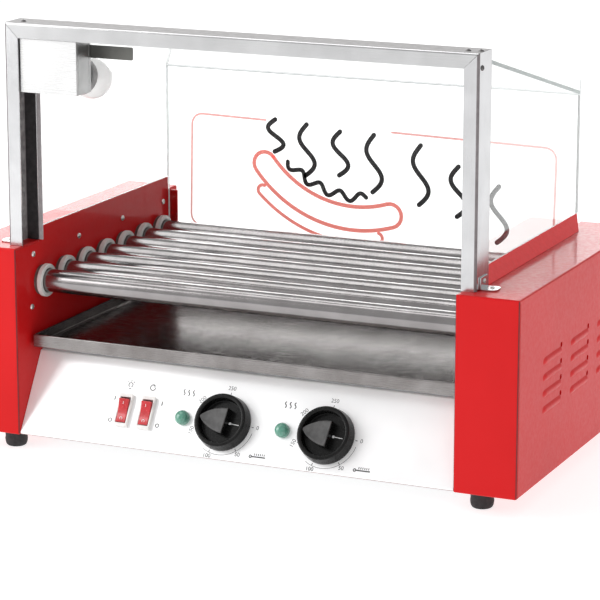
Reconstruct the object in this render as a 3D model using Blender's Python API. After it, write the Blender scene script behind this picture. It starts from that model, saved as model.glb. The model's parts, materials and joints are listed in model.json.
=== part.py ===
"""Counter-top hot dog roller grill with a glass hood.

Metres. X runs along the rollers, Y to the back and Z up. The origin is under the middle, at the feet.
"""

import math

import bmesh
import bpy
from mathutils import Matrix

# Overall size
WIDTH = 0.580
DEPTH = 0.350
FOOT_HEIGHT = 0.019
CASING_TOP = 0.206
HOOD_TOP = 0.424
CASING_WIDTH = 0.062

# Stock
GAP = 0.0003
SHEET = 0.0015
PLATE = 0.002
GLASS = 0.004

# Rollers and their drive
ROLLERS = 7
ROLLER_PITCH = 0.0422
ROLLER_FIRST_Y = -0.125
ROLLER_Z = 0.1654
ROLLER_RADIUS = 0.0115
ROLLER_WALL = 0.0015
ROLLER_LEFT = -0.240
ROLLER_RIGHT = 0.268
ROLLER_SIDES = 24
COLLAR_RADIUS = 0.0163
COLLAR_THICKNESS = 0.0050
HUB_RADIUS = 0.0150
HUB_LENGTH = 0.0034
SLEEVE_RADIUS = 0.0137
SLEEVE_BEHIND = 0.006
COLLAR_BORE = 0.0120
PLATE_HOLE = 0.0142
COLLAR_SIDES = 16
CHAIN_PITCH = 0.008
TEETH = 14
SPROCKET_LEFT = 0.258
SPROCKET_THICKNESS = 0.005
CHAIN_HEIGHT = 0.004
MOTOR_Z = 0.095
FRONT_ZONE = 4
ROD_RADIUS = 0.0045

# Control panel: it leans back from its bottom edge, and its pieces stand in one row
PANEL_LEAN = math.radians(31)
PANEL_TOP = 0.0952
CONTROL_ROW = 0.0375
KNOB_X = (-0.0135, 0.0940)
LAMP_X = (-0.0575, 0.0480)
SWITCH_X = (-0.1210, -0.0967)
KNOB_RADIUS = 0.0277
KNOB_RIM_RADIUS = 0.0263
KNOB_RIM_HEIGHT = 0.0135
KNOB_FLOOR = 0.0050
KNOB_FLOOR_RADIUS = 0.0218
KNOB_TURN = math.radians(-5)
SPINDLE_RADIUS = 0.0030
SPINDLE_REACH = 0.0125
GRIP_TIP = -0.0212
GRIP_END = 0.0062
GRIP_HALF_WIDTH = 0.0128
GRIP_HEIGHT = 0.0150
LENS_RADIUS = 0.0072
LENS_RIM = 0.0045
LENS_RISE = 0.0050
LENS_HOLE = 0.0064
BEZEL_HALF = (0.0072, 0.0165)
BEZEL_HEIGHT = 0.0045
SWITCH_CUTOUT = (0.0066, 0.0144)
ROCKER_PIVOT = -0.001
ROCKER_TILT = math.radians(8)

# Drip tray and its shelf
TRAY_FRONT = -0.150
TRAY_BACK = 0.140
TRAY_HALF = 0.2245
TRAY_FLOOR = 0.103
TRAY_RIM = 0.1155

# Hood
POST_FRONT = -0.161
POST_DEPTH = 0.034
FRAME_LEG = 0.0145
LIP_RISE = 0.0127
LIP_BACK = 0.152
BEAD_WIDTH = 0.0125
BEAD_BACK = 0.1535
BEAD_BACK_OUTSIDE = 0.126
PANE_FRONT_TOP = 0.4168
PANE_SLOPE = 0.2625
TOP_PANE_BACK = 0.155
SIDE_PANE_FRONT_TOP = 0.4215
SIDE_PANE_SLOPE = 0.238
SIDE_PANE_BACK = 0.1535
SIDE_PANE_INSIDE = 0.0002
BACK_PANE_Y = 0.151
REAR_WALL_TOP = 0.150
LAMP_AXIS = (-0.1845, -0.129, 0.3725)
LAMP_TILT = math.radians(13.5)
GLOBE_RADIUS = 0.0205

# Cable gland
GLAND_X = 0.170
GLAND_Z = 0.055

# Values that follow from those above
INNER_FACE = WIDTH / 2 - CASING_WIDTH
POST_BACK = POST_FRONT + POST_DEPTH
UNDER_CASING_TOP = CASING_TOP - SHEET - GAP
PLATE_FLOOR = FOOT_HEIGHT + SHEET + GAP
FLANGE_BACK = 0.1587
PAN_BACK = FLANGE_BACK - 0.002
PAN_HALF = INNER_FACE - 0.0005
KNOB_REACH = (
    DEPTH / 2
    - (CONTROL_ROW - KNOB_RIM_RADIUS) * math.sin(PANEL_LEAN)
    + KNOB_RIM_HEIGHT * math.cos(PANEL_LEAN)
)


def clear_scene():
    for obj in list(bpy.data.objects):
        bpy.data.objects.remove(obj, do_unlink=True)


# Materials ------------------------------------------------------------------------------------------


def make_look(name, colour, roughness, metallic=0.0, alpha=1.0):
    look = bpy.data.materials.new(name)
    look.use_nodes = True
    shader = look.node_tree.nodes["Principled BSDF"]
    shader.inputs["Base Color"].default_value = (*colour, 1.0)
    shader.inputs["Roughness"].default_value = roughness
    shader.inputs["Metallic"].default_value = metallic
    shader.inputs["Alpha"].default_value = alpha
    return look


def make_looks():
    return {
        "red_paint": make_look("red_paint", (0.62, 0.02, 0.025), 0.35),
        "panel_steel": make_look("panel_steel", (0.85, 0.85, 0.86), 0.15, 1.0),
        "brushed_steel": make_look("brushed_steel", (0.42, 0.40, 0.39), 0.35, 1.0),
        "roller_steel": make_look("roller_steel", (0.70, 0.69, 0.68), 0.22, 1.0),
        "frame_steel": make_look("frame_steel", (0.78, 0.78, 0.78), 0.20, 1.0),
        "zinc_steel": make_look("zinc_steel", (0.45, 0.46, 0.47), 0.45, 1.0),
        "white_collar": make_look("white_collar", (0.80, 0.79, 0.77), 0.45),
        "black_gloss": make_look("black_gloss", (0.012, 0.012, 0.013), 0.12),
        "black_rubber": make_look("black_rubber", (0.015, 0.015, 0.016), 0.70),
        "white_plastic": make_look("white_plastic", (0.82, 0.80, 0.78), 0.30),
        "red_plastic": make_look("red_plastic", (0.55, 0.02, 0.025), 0.25),
        "green_lens": make_look("green_lens", (0.10, 0.36, 0.26), 0.20),
        "grey_plastic": make_look("grey_plastic", (0.33, 0.33, 0.33), 0.40),
        "lamp_glass": make_look("lamp_glass", (0.88, 0.88, 0.87), 0.15),
        "clear_glass": make_look("clear_glass", (0.80, 0.90, 0.87), 0.03, 0.0, 0.2),
    }


# Shapes ---------------------------------------------------------------------------------------------


def box(low, high):
    shape = bmesh.new()
    corners = bmesh.ops.create_cube(shape, size=1.0)["verts"]
    for vertex in corners:
        for axis in range(3):
            vertex.co[axis] = low[axis] if vertex.co[axis] < 0 else high[axis]
    return shape


def side_box(side, inner, outer, y_range, z_range):
    """A box between two distances from the middle, on the left (side -1) or on the right (side 1)."""
    ends = sorted((side * inner, side * outer))
    return box((ends[0], y_range[0], z_range[0]), (ends[1], y_range[1], z_range[1]))


def prism(outline, start, end, place):
    """A flat outline of (a, b) points drawn out from start to end; place(a, b, c) gives each corner."""
    shape = bmesh.new()
    rings = [[shape.verts.new(place(a, b, c)) for a, b in outline] for c in (start, end)]
    shape.faces.new(rings[0])
    shape.faces.new(rings[1])
    add_band(shape, rings[0], rings[1])
    return shape


def along_x(y, z, x):
    return (x, y, z)


def along_z(x, y, z):
    return (x, y, z)


def add_band(shape, ring, other):
    for i, vertex in enumerate(ring):
        j = (i + 1) % len(ring)
        shape.faces.new((vertex, ring[j], other[j], other[i]))


def turned(profile, sides, axis, hollow=False):
    """A profile of (along, radius) points turned about an axis through the origin.

    A hollow profile is a closed loop. Any other has both its ends capped.
    """
    shape = bmesh.new()
    rings = []
    for along, radius in profile:
        ring = []
        for i in range(sides):
            angle = 2 * math.pi * (i + 0.5) / sides
            across = (radius * math.cos(angle), radius * math.sin(angle))
            ring.append(shape.verts.new(set_axis(along, across, axis)))
        rings.append(ring)
    for i in range(len(rings) - 1):
        add_band(shape, rings[i], rings[i + 1])
    if hollow:
        add_band(shape, rings[-1], rings[0])
    else:
        shape.faces.new(rings[0])
        shape.faces.new(rings[-1])
    return shape


def set_axis(along, across, axis):
    if axis == "X":
        return (along, across[0], across[1])
    if axis == "Y":
        return (across[0], along, across[1])
    return (across[0], across[1], along)


def moved(shape, offset):
    bmesh.ops.translate(shape, vec=offset, verts=shape.verts)
    return shape


def gathered(shapes):
    """One mesh of several shapes that stand clear of each other."""
    whole = bmesh.new()
    for shape in shapes:
        part = bpy.data.meshes.new("part")
        bmesh.ops.recalc_face_normals(shape, faces=shape.faces)
        shape.to_mesh(part)
        shape.free()
        whole.from_mesh(part)
        bpy.data.meshes.remove(part)
    return whole


def add_object(name, shape, look, location=(0, 0, 0), rotation=(0, 0, 0), parent=None):
    bmesh.ops.recalc_face_normals(shape, faces=shape.faces)
    mesh = bpy.data.meshes.new(name)
    shape.to_mesh(mesh)
    shape.free()
    mesh.materials.append(look)
    mesh.shade_smooth()
    mesh.set_sharp_from_angle(angle=math.radians(35))
    obj = bpy.data.objects.new(name, mesh)
    obj.location = location
    obj.rotation_euler = rotation
    obj.parent = parent
    bpy.context.scene.collection.objects.link(obj)
    return obj


def combine(obj, shape, operation):
    """Cuts a shape out of an object, or joins it on. The shape is given in the object's own frame."""
    helper = add_object(f"{obj.name}_{operation.lower()}", shape, obj.data.materials[0])
    helper.parent = obj
    helper.hide_render = True
    helper.display_type = "WIRE"
    modifier = obj.modifiers.new(operation.title(), "BOOLEAN")
    modifier.operation = operation
    modifier.solver = "EXACT"
    modifier.object = helper


def round_edges(obj, width, segments=2):
    modifier = obj.modifiers.new("Edges", "BEVEL")
    modifier.width = width
    modifier.segments = segments
    modifier.limit_method = "ANGLE"
    modifier.angle_limit = math.radians(40)


def pane_top(y):
    """Height of the sloping pane's upper face."""
    return PANE_FRONT_TOP - PANE_SLOPE * (y - POST_BACK)


def under_pane(y):
    return pane_top(y) - GLASS * math.hypot(1, PANE_SLOPE)


def roller_y(index):
    return ROLLER_FIRST_Y + index * ROLLER_PITCH


# Casings, plates and feet ---------------------------------------------------------------------------


def casing(name, side, look):
    """A sheet-metal box, open on its inner side, where the bearing plate stands."""
    outer = WIDTH / 2
    half = DEPTH / 2
    shell = side_box(side, INNER_FACE, outer, (-half, half), (FOOT_HEIGHT, CASING_TOP))
    obj = add_object(name, shell, look)
    round_edges(obj, 0.0012)
    inside_y = (-half + SHEET, half - SHEET)
    inside_z = (FOOT_HEIGHT + SHEET, CASING_TOP - SHEET)
    hollow = side_box(side, INNER_FACE + SHEET, outer - SHEET, inside_y, inside_z)
    combine(obj, hollow, "DIFFERENCE")
    opening_y = (inside_y[0], FLANGE_BACK + 0.001)
    opening = side_box(side, INNER_FACE - 0.01, INNER_FACE + PLATE + 0.001, opening_y, inside_z)
    combine(obj, opening, "DIFFERENCE")
    slot_y = (POST_BACK - GAP, LIP_BACK + 0.001)
    slot_z = (CASING_TOP - 2 * SHEET, CASING_TOP + SHEET)
    slot = side_box(side, INNER_FACE - 0.01, INNER_FACE + PLATE + GAP, slot_y, slot_z)
    combine(obj, slot, "DIFFERENCE")
    combine(obj, glazing_bead(side), "UNION")
    return obj


def glazing_bead(side):
    """Ridge on the casing's top that slopes away from the side pane. Its back end is cut at a slant."""
    inside = INNER_FACE + PLATE + 2 * GAP
    crest = INNER_FACE + SIDE_PANE_INSIDE + GLASS
    outside = INNER_FACE + PLATE + BEAD_WIDTH
    top = CASING_TOP + LIP_RISE
    section = [(inside, CASING_TOP - GAP), (inside, top), (crest, top), (outside, CASING_TOP + GAP)]
    section.append((outside, CASING_TOP - GAP))
    slant = (BEAD_BACK - BEAD_BACK_OUTSIDE) / (outside - inside)
    shape = bmesh.new()
    rings = []
    for back in (False, True):
        ring = []
        for x, z in section:
            y = BEAD_BACK - slant * (x - inside) if back else POST_BACK + GAP
            ring.append(shape.verts.new((side * x, y, z)))
        shape.faces.new(ring)
        rings.append(ring)
    add_band(shape, rings[0], rings[1])
    return shape


def cut_louvres(obj):
    """Twelve slots in the outer side, in three columns of four."""
    columns = (-0.0855, -0.0075, 0.0705)
    rows = [0.0865 + 0.0156 * i for i in range(4)]
    length = 0.043
    height = 0.003
    cutters = []
    for y in columns:
        for z in rows:
            low = (WIDTH / 2 - 0.004, y - length / 2, z - height / 2)
            high = (WIDTH / 2 + 0.004, y + length / 2, z + height / 2)
            cutters.append(box(low, high))
    combine(obj, gathered(cutters), "DIFFERENCE")


def bearing_plate(name, side, look):
    """The inner side plate, with a lip above the casing and a flange bent inwards at its back."""
    web = (INNER_FACE, INNER_FACE + PLATE)
    flange_tip = INNER_FACE - 0.009
    front = -DEPTH / 2 + SHEET + GAP
    outline = [
        (side * web[0], front),
        (side * web[1], front),
        (side * web[1], FLANGE_BACK),
        (side * flange_tip, FLANGE_BACK),
        (side * flange_tip, FLANGE_BACK - SHEET),
        (side * web[0], FLANGE_BACK - SHEET),
    ]
    shape = prism(outline, PLATE_FLOOR, CASING_TOP + LIP_RISE, along_z)
    obj = add_object(name, shape, look)
    above = (UNDER_CASING_TOP, CASING_TOP + 2 * LIP_RISE)
    ahead = side_box(side, flange_tip - 0.01, web[1] + 0.01, (-DEPTH, POST_BACK + 0.0005), above)
    behind = side_box(side, flange_tip - 0.01, web[1] + 0.01, (LIP_BACK, DEPTH), above)
    combine(obj, gathered([ahead, behind]), "DIFFERENCE")
    holes = []
    for index in range(ROLLERS):
        bore = turned([(-0.01, PLATE_HOLE), (0.01, PLATE_HOLE)], COLLAR_SIDES, "X")
        holes.append(moved(bore, (side * INNER_FACE, roller_y(index), ROLLER_Z)))
    combine(obj, gathered(holes), "DIFFERENCE")
    return obj


def foot(name, x, y, look):
    top = FOOT_HEIGHT - GAP
    profile = [(0, 0.0084), (0.0012, 0.0098), (0.0036, 0.0108), (top - 0.002, 0.0118), (top, 0.0118)]
    return add_object(name, turned(profile, 20, "Z"), look, location=(x, y, 0))


# Chassis, panel, shelf and tray ---------------------------------------------------------------------


def chassis_pan(look):
    """Floor and rear wall in one folded sheet, with a ledge under the back pane."""
    low = FOOT_HEIGHT + SHEET
    wall = PAN_BACK - SHEET
    ledge = 0.149
    front = -0.157
    outline = [
        (front, low),
        (PAN_BACK, low),
        (PAN_BACK, REAR_WALL_TOP),
        (ledge, REAR_WALL_TOP),
        (ledge, REAR_WALL_TOP - SHEET),
        (wall, REAR_WALL_TOP - SHEET),
        (wall, low + SHEET),
        (front, low + SHEET),
    ]
    obj = add_object("chassis_pan", prism(outline, -PAN_HALF, PAN_HALF, along_x), look)
    hole = turned([(-0.01, 0.0084), (0.01, 0.0084)], 16, "Y")
    combine(obj, moved(hole, (GLAND_X, PAN_BACK, GLAND_Z)), "DIFFERENCE")
    return obj


def control_panel(look):
    """A folded sheet: bottom return, leaning face and top return."""
    slope = math.tan(PANEL_LEAN)
    across = SHEET / math.cos(PANEL_LEAN)
    front = -DEPTH / 2
    low = FOOT_HEIGHT
    top_y = front + (PANEL_TOP - low) * slope
    return_y = (-0.158, -0.105)
    outline = [
        (return_y[0], low),
        (front, low),
        (top_y, PANEL_TOP),
        (return_y[1], PANEL_TOP),
        (return_y[1], PANEL_TOP - SHEET),
        (front + (PANEL_TOP - SHEET - low) * slope + across, PANEL_TOP - SHEET),
        (front + SHEET * slope + across, low + SHEET),
        (return_y[0], low + SHEET),
    ]
    return add_object("control_panel", prism(outline, -PAN_HALF, PAN_HALF, along_x), look)


def cut_panel(obj, panel_frame):
    """Openings for the spindles, the indicator lamps and the switches."""
    cutters = []
    for x in KNOB_X:
        hole = turned([(-0.006, 1.5 * SPINDLE_RADIUS), (0.006, 1.5 * SPINDLE_RADIUS)], 12, "Z")
        cutters.append(moved(hole, (x, CONTROL_ROW, 0)))
    for x in LAMP_X:
        hole = turned([(-0.006, LENS_HOLE), (0.006, LENS_HOLE)], 16, "Z")
        cutters.append(moved(hole, (x, CONTROL_ROW, 0)))
    for x in SWITCH_X:
        low = (x - SWITCH_CUTOUT[0], CONTROL_ROW - SWITCH_CUTOUT[1], -0.006)
        high = (x + SWITCH_CUTOUT[0], CONTROL_ROW + SWITCH_CUTOUT[1], 0.006)
        cutters.append(box(low, high))
    shape = gathered(cutters)
    shape.transform(panel_frame)
    combine(obj, shape, "DIFFERENCE")


def tray_shelf(look):
    """The sheet that the tray slides on, with a leg down to the panel's top."""
    top = TRAY_FLOOR - GAP
    leg = -0.126
    back = 0.1485
    outline = [
        (leg, PANEL_TOP + GAP),
        (leg + SHEET, PANEL_TOP + GAP),
        (leg + SHEET, top - SHEET),
        (back, top - SHEET),
        (back, top),
        (leg, top),
    ]
    return add_object("tray_shelf", prism(outline, -PAN_HALF, PAN_HALF, along_x), look)


def drip_tray(look):
    wall = 0.0012
    shell = box((-TRAY_HALF, TRAY_FRONT, TRAY_FLOOR), (TRAY_HALF, TRAY_BACK, TRAY_RIM))
    centre = (0, (TRAY_FRONT + TRAY_BACK) / 2, TRAY_FLOOR)
    moved(shell, [-value for value in centre])
    obj = add_object("drip_tray", shell, look, location=centre)
    half_depth = (TRAY_BACK - TRAY_FRONT) / 2
    low = (-TRAY_HALF + wall, -half_depth + wall, wall)
    high = (TRAY_HALF - wall, half_depth - wall, 2 * (TRAY_RIM - TRAY_FLOOR))
    combine(obj, box(low, high), "DIFFERENCE")
    return obj


# Rollers and drive ----------------------------------------------------------------------------------


def roller(index, look):
    inside = ROLLER_RADIUS - ROLLER_WALL
    profile = [
        (ROLLER_LEFT, inside),
        (ROLLER_LEFT, ROLLER_RADIUS),
        (ROLLER_RIGHT, ROLLER_RADIUS),
        (ROLLER_RIGHT, inside),
    ]
    tube = turned(profile, ROLLER_SIDES, "X", hollow=True)
    place = (0, roller_y(index), ROLLER_Z)
    return add_object(f"roller_{index + 1}", tube, look, location=place)


def collar_profile(bore):
    """Half-section of a flanged collar, along +X from the inside of the grill outwards."""
    seat = INNER_FACE - GAP
    shoulder = seat - HUB_LENGTH
    face = shoulder - COLLAR_THICKNESS
    end = INNER_FACE + PLATE + SLEEVE_BEHIND
    profile = [
        (face, COLLAR_RADIUS),
        (shoulder, COLLAR_RADIUS),
        (shoulder, HUB_RADIUS),
        (seat, HUB_RADIUS),
        (seat, SLEEVE_RADIUS),
        (end, SLEEVE_RADIUS),
    ]
    if bore:
        profile += [(end, bore), (face, bore)]
    return profile


def left_bush(index, look):
    profile = [(-along, radius) for along, radius in collar_profile(COLLAR_BORE)]
    shape = turned(profile, COLLAR_SIDES, "X", hollow=True)
    place = (0, roller_y(index), ROLLER_Z)
    return add_object(f"left_bush_{index + 1}", shape, look, location=place)


def right_bush_strip(look):
    """Seven collars on one strip behind the right plate."""
    left = INNER_FACE + PLATE + GAP
    overlap = 0.015
    low = (left, roller_y(0) - overlap, ROLLER_Z - 0.010)
    high = (left + 0.002, roller_y(ROLLERS - 1) + overlap, ROLLER_Z + 0.010)
    obj = add_object("right_bush_strip", box(low, high), look)
    collars = []
    bores = []
    for index in range(ROLLERS):
        place = (0, roller_y(index), ROLLER_Z)
        collars.append(moved(turned(collar_profile(None), COLLAR_SIDES, "X"), place))
        bore = turned([(INNER_FACE - 0.02, COLLAR_BORE), (INNER_FACE + 0.02, COLLAR_BORE)], COLLAR_SIDES, "X")
        bores.append(moved(bore, place))
    combine(obj, gathered(collars), "UNION")
    combine(obj, gathered(bores), "DIFFERENCE")
    return obj


def pitch_radius():
    return CHAIN_PITCH / 2 / math.sin(math.pi / TEETH)


def tip_radius():
    return pitch_radius() + 0.0015


def tooth_outline():
    """Straight-flanked teeth: each has two points at the tip and two at the root."""
    root = pitch_radius() - 0.0025
    turns = ((-0.34, root), (-0.12, tip_radius()), (0.12, tip_radius()), (0.34, root))
    points = []
    for tooth in range(TEETH):
        for turn, radius in turns:
            angle = 2 * math.pi * (tooth + turn) / TEETH
            points.append((radius * math.cos(angle), radius * math.sin(angle)))
    return points


def sprocket_blank(location, name, look):
    ends = (SPROCKET_LEFT, SPROCKET_LEFT + SPROCKET_THICKNESS)
    shape = prism(tooth_outline(), ends[0], ends[1], along_x)
    return add_object(name, shape, look, location=location)


def roller_sprocket(index, look):
    place = (0, roller_y(index), ROLLER_Z)
    obj = sprocket_blank(place, f"sprocket_{index + 1}", look)
    bore_radius = ROLLER_RADIUS + 0.0004
    bore_ends = [(SPROCKET_LEFT - 0.01, bore_radius), (SPROCKET_LEFT + 0.02, bore_radius)]
    bore = turned(bore_ends, ROLLER_SIDES, "X")
    combine(obj, bore, "DIFFERENCE")
    return obj


def motor_place():
    return (0, roller_y(ROLLERS // 2), MOTOR_Z)


def motor_sprocket(look):
    """The motor's sprocket with its stub shaft."""
    obj = sprocket_blank(motor_place(), "motor_sprocket", look)
    shaft = turned([(0.246, 0.004), (SPROCKET_LEFT + SPROCKET_THICKNESS + 0.003, 0.004)], 12, "X")
    combine(obj, shaft, "UNION")
    return obj


def gear_motor(look):
    back = INNER_FACE + PLATE + GAP
    can_end = 0.250
    boss_end = 0.2545
    profile = [(back, 0.030), (can_end, 0.030), (can_end, 0.010), (boss_end, 0.010)]
    obj = add_object("gear_motor", turned(profile, 24, "X"), look, location=motor_place())
    bore = turned([(0.244, 0.0045), (boss_end + 0.01, 0.0045)], 12, "X")
    combine(obj, bore, "DIFFERENCE")
    return obj


def chain_loop(offset):
    """Points round the two end sprockets and the motor's, at a distance from their centres."""
    centres = [
        (roller_y(0), ROLLER_Z),
        motor_place()[1:],
        (roller_y(ROLLERS - 1), ROLLER_Z),
    ]
    steps = 10
    points = []
    for i, centre in enumerate(centres):
        before = centres[i - 1]
        after = centres[(i + 1) % len(centres)]
        start = outward_turn(before, centre)
        sweep = (outward_turn(centre, after) - start) % (2 * math.pi)
        for step in range(steps + 1):
            angle = start + sweep * step / steps
            points.append((centre[0] + offset * math.cos(angle), centre[1] + offset * math.sin(angle)))
    return points


def outward_turn(start, end):
    """Direction of the outer side of a straight run, on a loop that goes anticlockwise."""
    return math.atan2(end[1] - start[1], end[0] - start[0]) - math.pi / 2


def drive_chain(look):
    """The chain as one closed band that stands just clear of the tooth tips."""
    inner_radius = tip_radius() + 0.0005
    left = SPROCKET_LEFT - 0.0005
    right = left + SPROCKET_THICKNESS + 0.001
    shape = bmesh.new()
    loops = []
    for x, offset in ((left, 0), (right, 0), (right, CHAIN_HEIGHT), (left, CHAIN_HEIGHT)):
        loops.append([shape.verts.new((x, y, z)) for y, z in chain_loop(inner_radius + offset)])
    for i, loop in enumerate(loops):
        add_band(shape, loop, loops[(i + 1) % len(loops)])
    return add_object("drive_chain", shape, look)


def heater_group(name, first, last, look):
    """Heating rods for rollers first to last, held by one bar beyond the left ends."""
    bar = (-0.265, -0.262)
    edge = 0.007
    low = (bar[0], roller_y(first) - edge, ROLLER_Z - edge)
    high = (bar[1], roller_y(last) + edge, ROLLER_Z + edge)
    obj = add_object(name, box(low, high), look)
    rods = []
    for index in range(first, last + 1):
        rod = turned([(bar[1] - 0.001, ROD_RADIUS), (ROLLER_RIGHT + 0.006, ROD_RADIUS)], 8, "X")
        rods.append(moved(rod, (0, roller_y(index), ROLLER_Z)))
    combine(obj, gathered(rods), "UNION")
    return obj


# Pieces on the control panel ------------------------------------------------------------------------


def grip_outline():
    """Drop in plan: pointed on the left and cut straight across at the pointer's end."""
    steps = 8
    edge = []
    for step in range(steps + 1):
        share = max(step / steps, 0.06)
        half = GRIP_HALF_WIDTH * math.sin(math.pi / 2 * share) ** 0.9
        edge.append((GRIP_TIP + (GRIP_END - GRIP_TIP) * step / steps, half))
    return [(x, -half) for x, half in edge] + [(x, half) for x, half in reversed(edge)]


def knob(name, x, look, panel):
    """Cup with a drop-shaped grip standing on its floor, and a blind bore for the spindle."""
    cup = [
        (0.0006, KNOB_RADIUS),
        (KNOB_RIM_HEIGHT, KNOB_RIM_RADIUS),
        (KNOB_RIM_HEIGHT, KNOB_FLOOR_RADIUS),
        (KNOB_FLOOR, KNOB_FLOOR_RADIUS),
    ]
    place = (x, CONTROL_ROW, 0)
    turn = (0, 0, KNOB_TURN)
    obj = add_object(name, turned(cup, 32, "Z"), look, location=place, rotation=turn, parent=panel)
    combine(obj, prism(grip_outline(), KNOB_FLOOR - 0.001, GRIP_HEIGHT, along_z), "UNION")
    bore = SPINDLE_RADIUS + 0.0004
    combine(obj, turned([(-0.002, bore), (SPINDLE_REACH + 0.0008, bore)], 12, "Z"), "DIFFERENCE")
    return obj


def thermostat(name, x, look, panel):
    behind = -SHEET - GAP
    body = box((-0.018, -0.015, behind - 0.022), (0.018, 0.015, behind))
    obj = add_object(name, body, look, location=(x, CONTROL_ROW, 0), parent=panel)
    spindle = [(behind - 0.001, SPINDLE_RADIUS), (SPINDLE_REACH, SPINDLE_RADIUS)]
    combine(obj, turned(spindle, 12, "Z"), "UNION")
    return obj


def switch_housing(name, x, look, panel):
    """Bezel in front of the panel, body through it, and a pocket for the rocker."""
    half_x, half_y = BEZEL_HALF
    bezel = box((-half_x, -half_y, GAP), (half_x, half_y, BEZEL_HEIGHT))
    obj = add_object(name, bezel, look, location=(x, CONTROL_ROW, 0), parent=panel)
    round_edges(obj, 0.0006, 1)
    combine(obj, box((-0.0062, -0.0140, -0.018), (0.0062, 0.0140, 0.0012)), "UNION")
    combine(obj, box((-0.0055, -0.0130, -0.0085), (0.0055, 0.0130, 2 * BEZEL_HEIGHT)), "DIFFERENCE")
    return obj


def rocker(name, x, look, panel):
    """Dished rocker at its off stop: its lower end is in and its upper end stands out."""
    outline = [
        (-0.0116, 0.0078),
        (-0.0119, 0.0020),
        (-0.0100, -0.0035),
        (0.0100, -0.0035),
        (0.0119, 0.0020),
        (0.0116, 0.0078),
        (0, 0.0062),
    ]
    shape = prism(outline, -0.0051, 0.0051, along_x)
    place = (x, CONTROL_ROW, ROCKER_PIVOT)
    turn = (ROCKER_TILT, 0, 0)
    return add_object(name, shape, look, location=place, rotation=turn, parent=panel)


def indicator_lamp(name, x, look, panel):
    profile = [(-0.014, 0.0055), (-0.001, 0.0059), (GAP, 0.0059), (GAP, LENS_RADIUS)]
    for step in range(4):
        angle = math.radians(25 * step)
        profile.append((LENS_RIM + LENS_RISE * math.sin(angle), LENS_RADIUS * math.cos(angle)))
    place = (x, CONTROL_ROW, 0)
    return add_object(name, turned(profile, 16, "Z"), look, location=place, parent=panel)


# Hood -----------------------------------------------------------------------------------------------


def channel_outline():
    """Section of the hood frame: (y, distance in from its outer face) of a channel open inwards."""
    front = POST_FRONT
    back = POST_BACK
    return [
        (front, 0),
        (back, 0),
        (back, FRAME_LEG),
        (back - SHEET, FRAME_LEG),
        (back - SHEET, SHEET),
        (front + SHEET, SHEET),
        (front + SHEET, FRAME_LEG),
        (front, FRAME_LEG),
    ]


def mitred_channel(ends):
    """A channel whose ends follow ends(y, inset), a pair of corners for each point of its section."""
    shape = bmesh.new()
    pairs = [ends(y, inset) for y, inset in channel_outline()]
    rings = [[shape.verts.new(pair[i]) for pair in pairs] for i in (0, 1)]
    shape.faces.new(rings[0])
    shape.faces.new(rings[1])
    add_band(shape, rings[0], rings[1])
    return shape


def hood_post(name, side, look):
    outer = INNER_FACE + FRAME_LEG
    foot_z = CASING_TOP + GAP

    def ends(y, inset):
        x = side * (outer - inset)
        return (x, y, foot_z), (x, y, HOOD_TOP - inset)

    return add_object(name, mitred_channel(ends), look)


def hood_top_rail(look):
    outer = INNER_FACE + FRAME_LEG - 1.5 * GAP

    def ends(y, inset):
        x = outer - inset
        z = HOOD_TOP - inset
        return (-x, y, z), (x, y, z)

    return add_object("hood_top_rail", mitred_channel(ends), look)


def side_pane(name, side, look):
    front = POST_BACK + GAP
    low = CASING_TOP + LIP_RISE + GAP
    back_top = SIDE_PANE_FRONT_TOP - SIDE_PANE_SLOPE * (SIDE_PANE_BACK - front)
    outline = [
        (front, low),
        (SIDE_PANE_BACK, low),
        (SIDE_PANE_BACK, back_top),
        (front, SIDE_PANE_FRONT_TOP),
    ]
    start = side * (INNER_FACE + SIDE_PANE_INSIDE)
    return add_object(name, prism(outline, start, start + side * GLASS, along_x), look)


def top_pane(look):
    """The sloping pane between the side panes. Its back end lies on the back pane."""
    half = INNER_FACE - GAP
    front = POST_BACK + GAP
    outline = [
        (front, under_pane(front)),
        (TOP_PANE_BACK, under_pane(TOP_PANE_BACK)),
        (TOP_PANE_BACK, pane_top(TOP_PANE_BACK)),
        (front, pane_top(front)),
    ]
    return add_object("top_glass", prism(outline, -half, half, along_x), look)


def back_pane(look):
    back = BACK_PANE_Y + GLASS
    low = REAR_WALL_TOP + GAP
    outline = [
        (BACK_PANE_Y, low),
        (back, low),
        (back, under_pane(back) - GAP),
        (BACK_PANE_Y, under_pane(BACK_PANE_Y) - GAP),
    ]
    return add_object("back_glass", prism(outline, -PAN_HALF, PAN_HALF, along_x), look)


def lamp_box(look):
    """Box under the left end of the rail, with a strap along the rail's back edge."""
    left = -PAN_HALF
    right = -0.166
    low_z = 0.357
    high_z = HOOD_TOP - FRAME_LEG - GAP
    front = -0.158
    back = LAMP_AXIS[1]
    obj = add_object("lamp_box", box((left, front, low_z), (right, back, high_z)), look)
    wall = 0.0012
    strap = box((right - 0.004, back - wall, 0.390), (-0.121, back, 0.4025))
    combine(obj, strap, "UNION")
    inside_low = (left + wall, front + wall, low_z + wall)
    inside_high = (right - wall, back - wall, high_z - wall)
    combine(obj, box(inside_low, inside_high), "DIFFERENCE")
    hole = turned([(-0.005, 0.012), (0.005, 0.012)], 16, "Y")
    combine(obj, moved(hole, LAMP_AXIS), "DIFFERENCE")
    return obj


def lamp_holder(look):
    """Ring behind the lamp box, on a neck that goes through the box's back."""
    profile = [(-0.005, 0.0095), (0.0055, 0.0095), (0.0055, 0.0185), (0.0140, 0.0185), (0.0150, 0.0170)]
    tilt = (-LAMP_TILT, 0, 0)
    obj = add_object("lamp_holder", turned(profile, 24, "Y"), look, location=LAMP_AXIS, rotation=tilt)
    combine(obj, turned([(0.008, 0.0080), (0.020, 0.0080)], 16, "Y"), "DIFFERENCE")
    return obj


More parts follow.
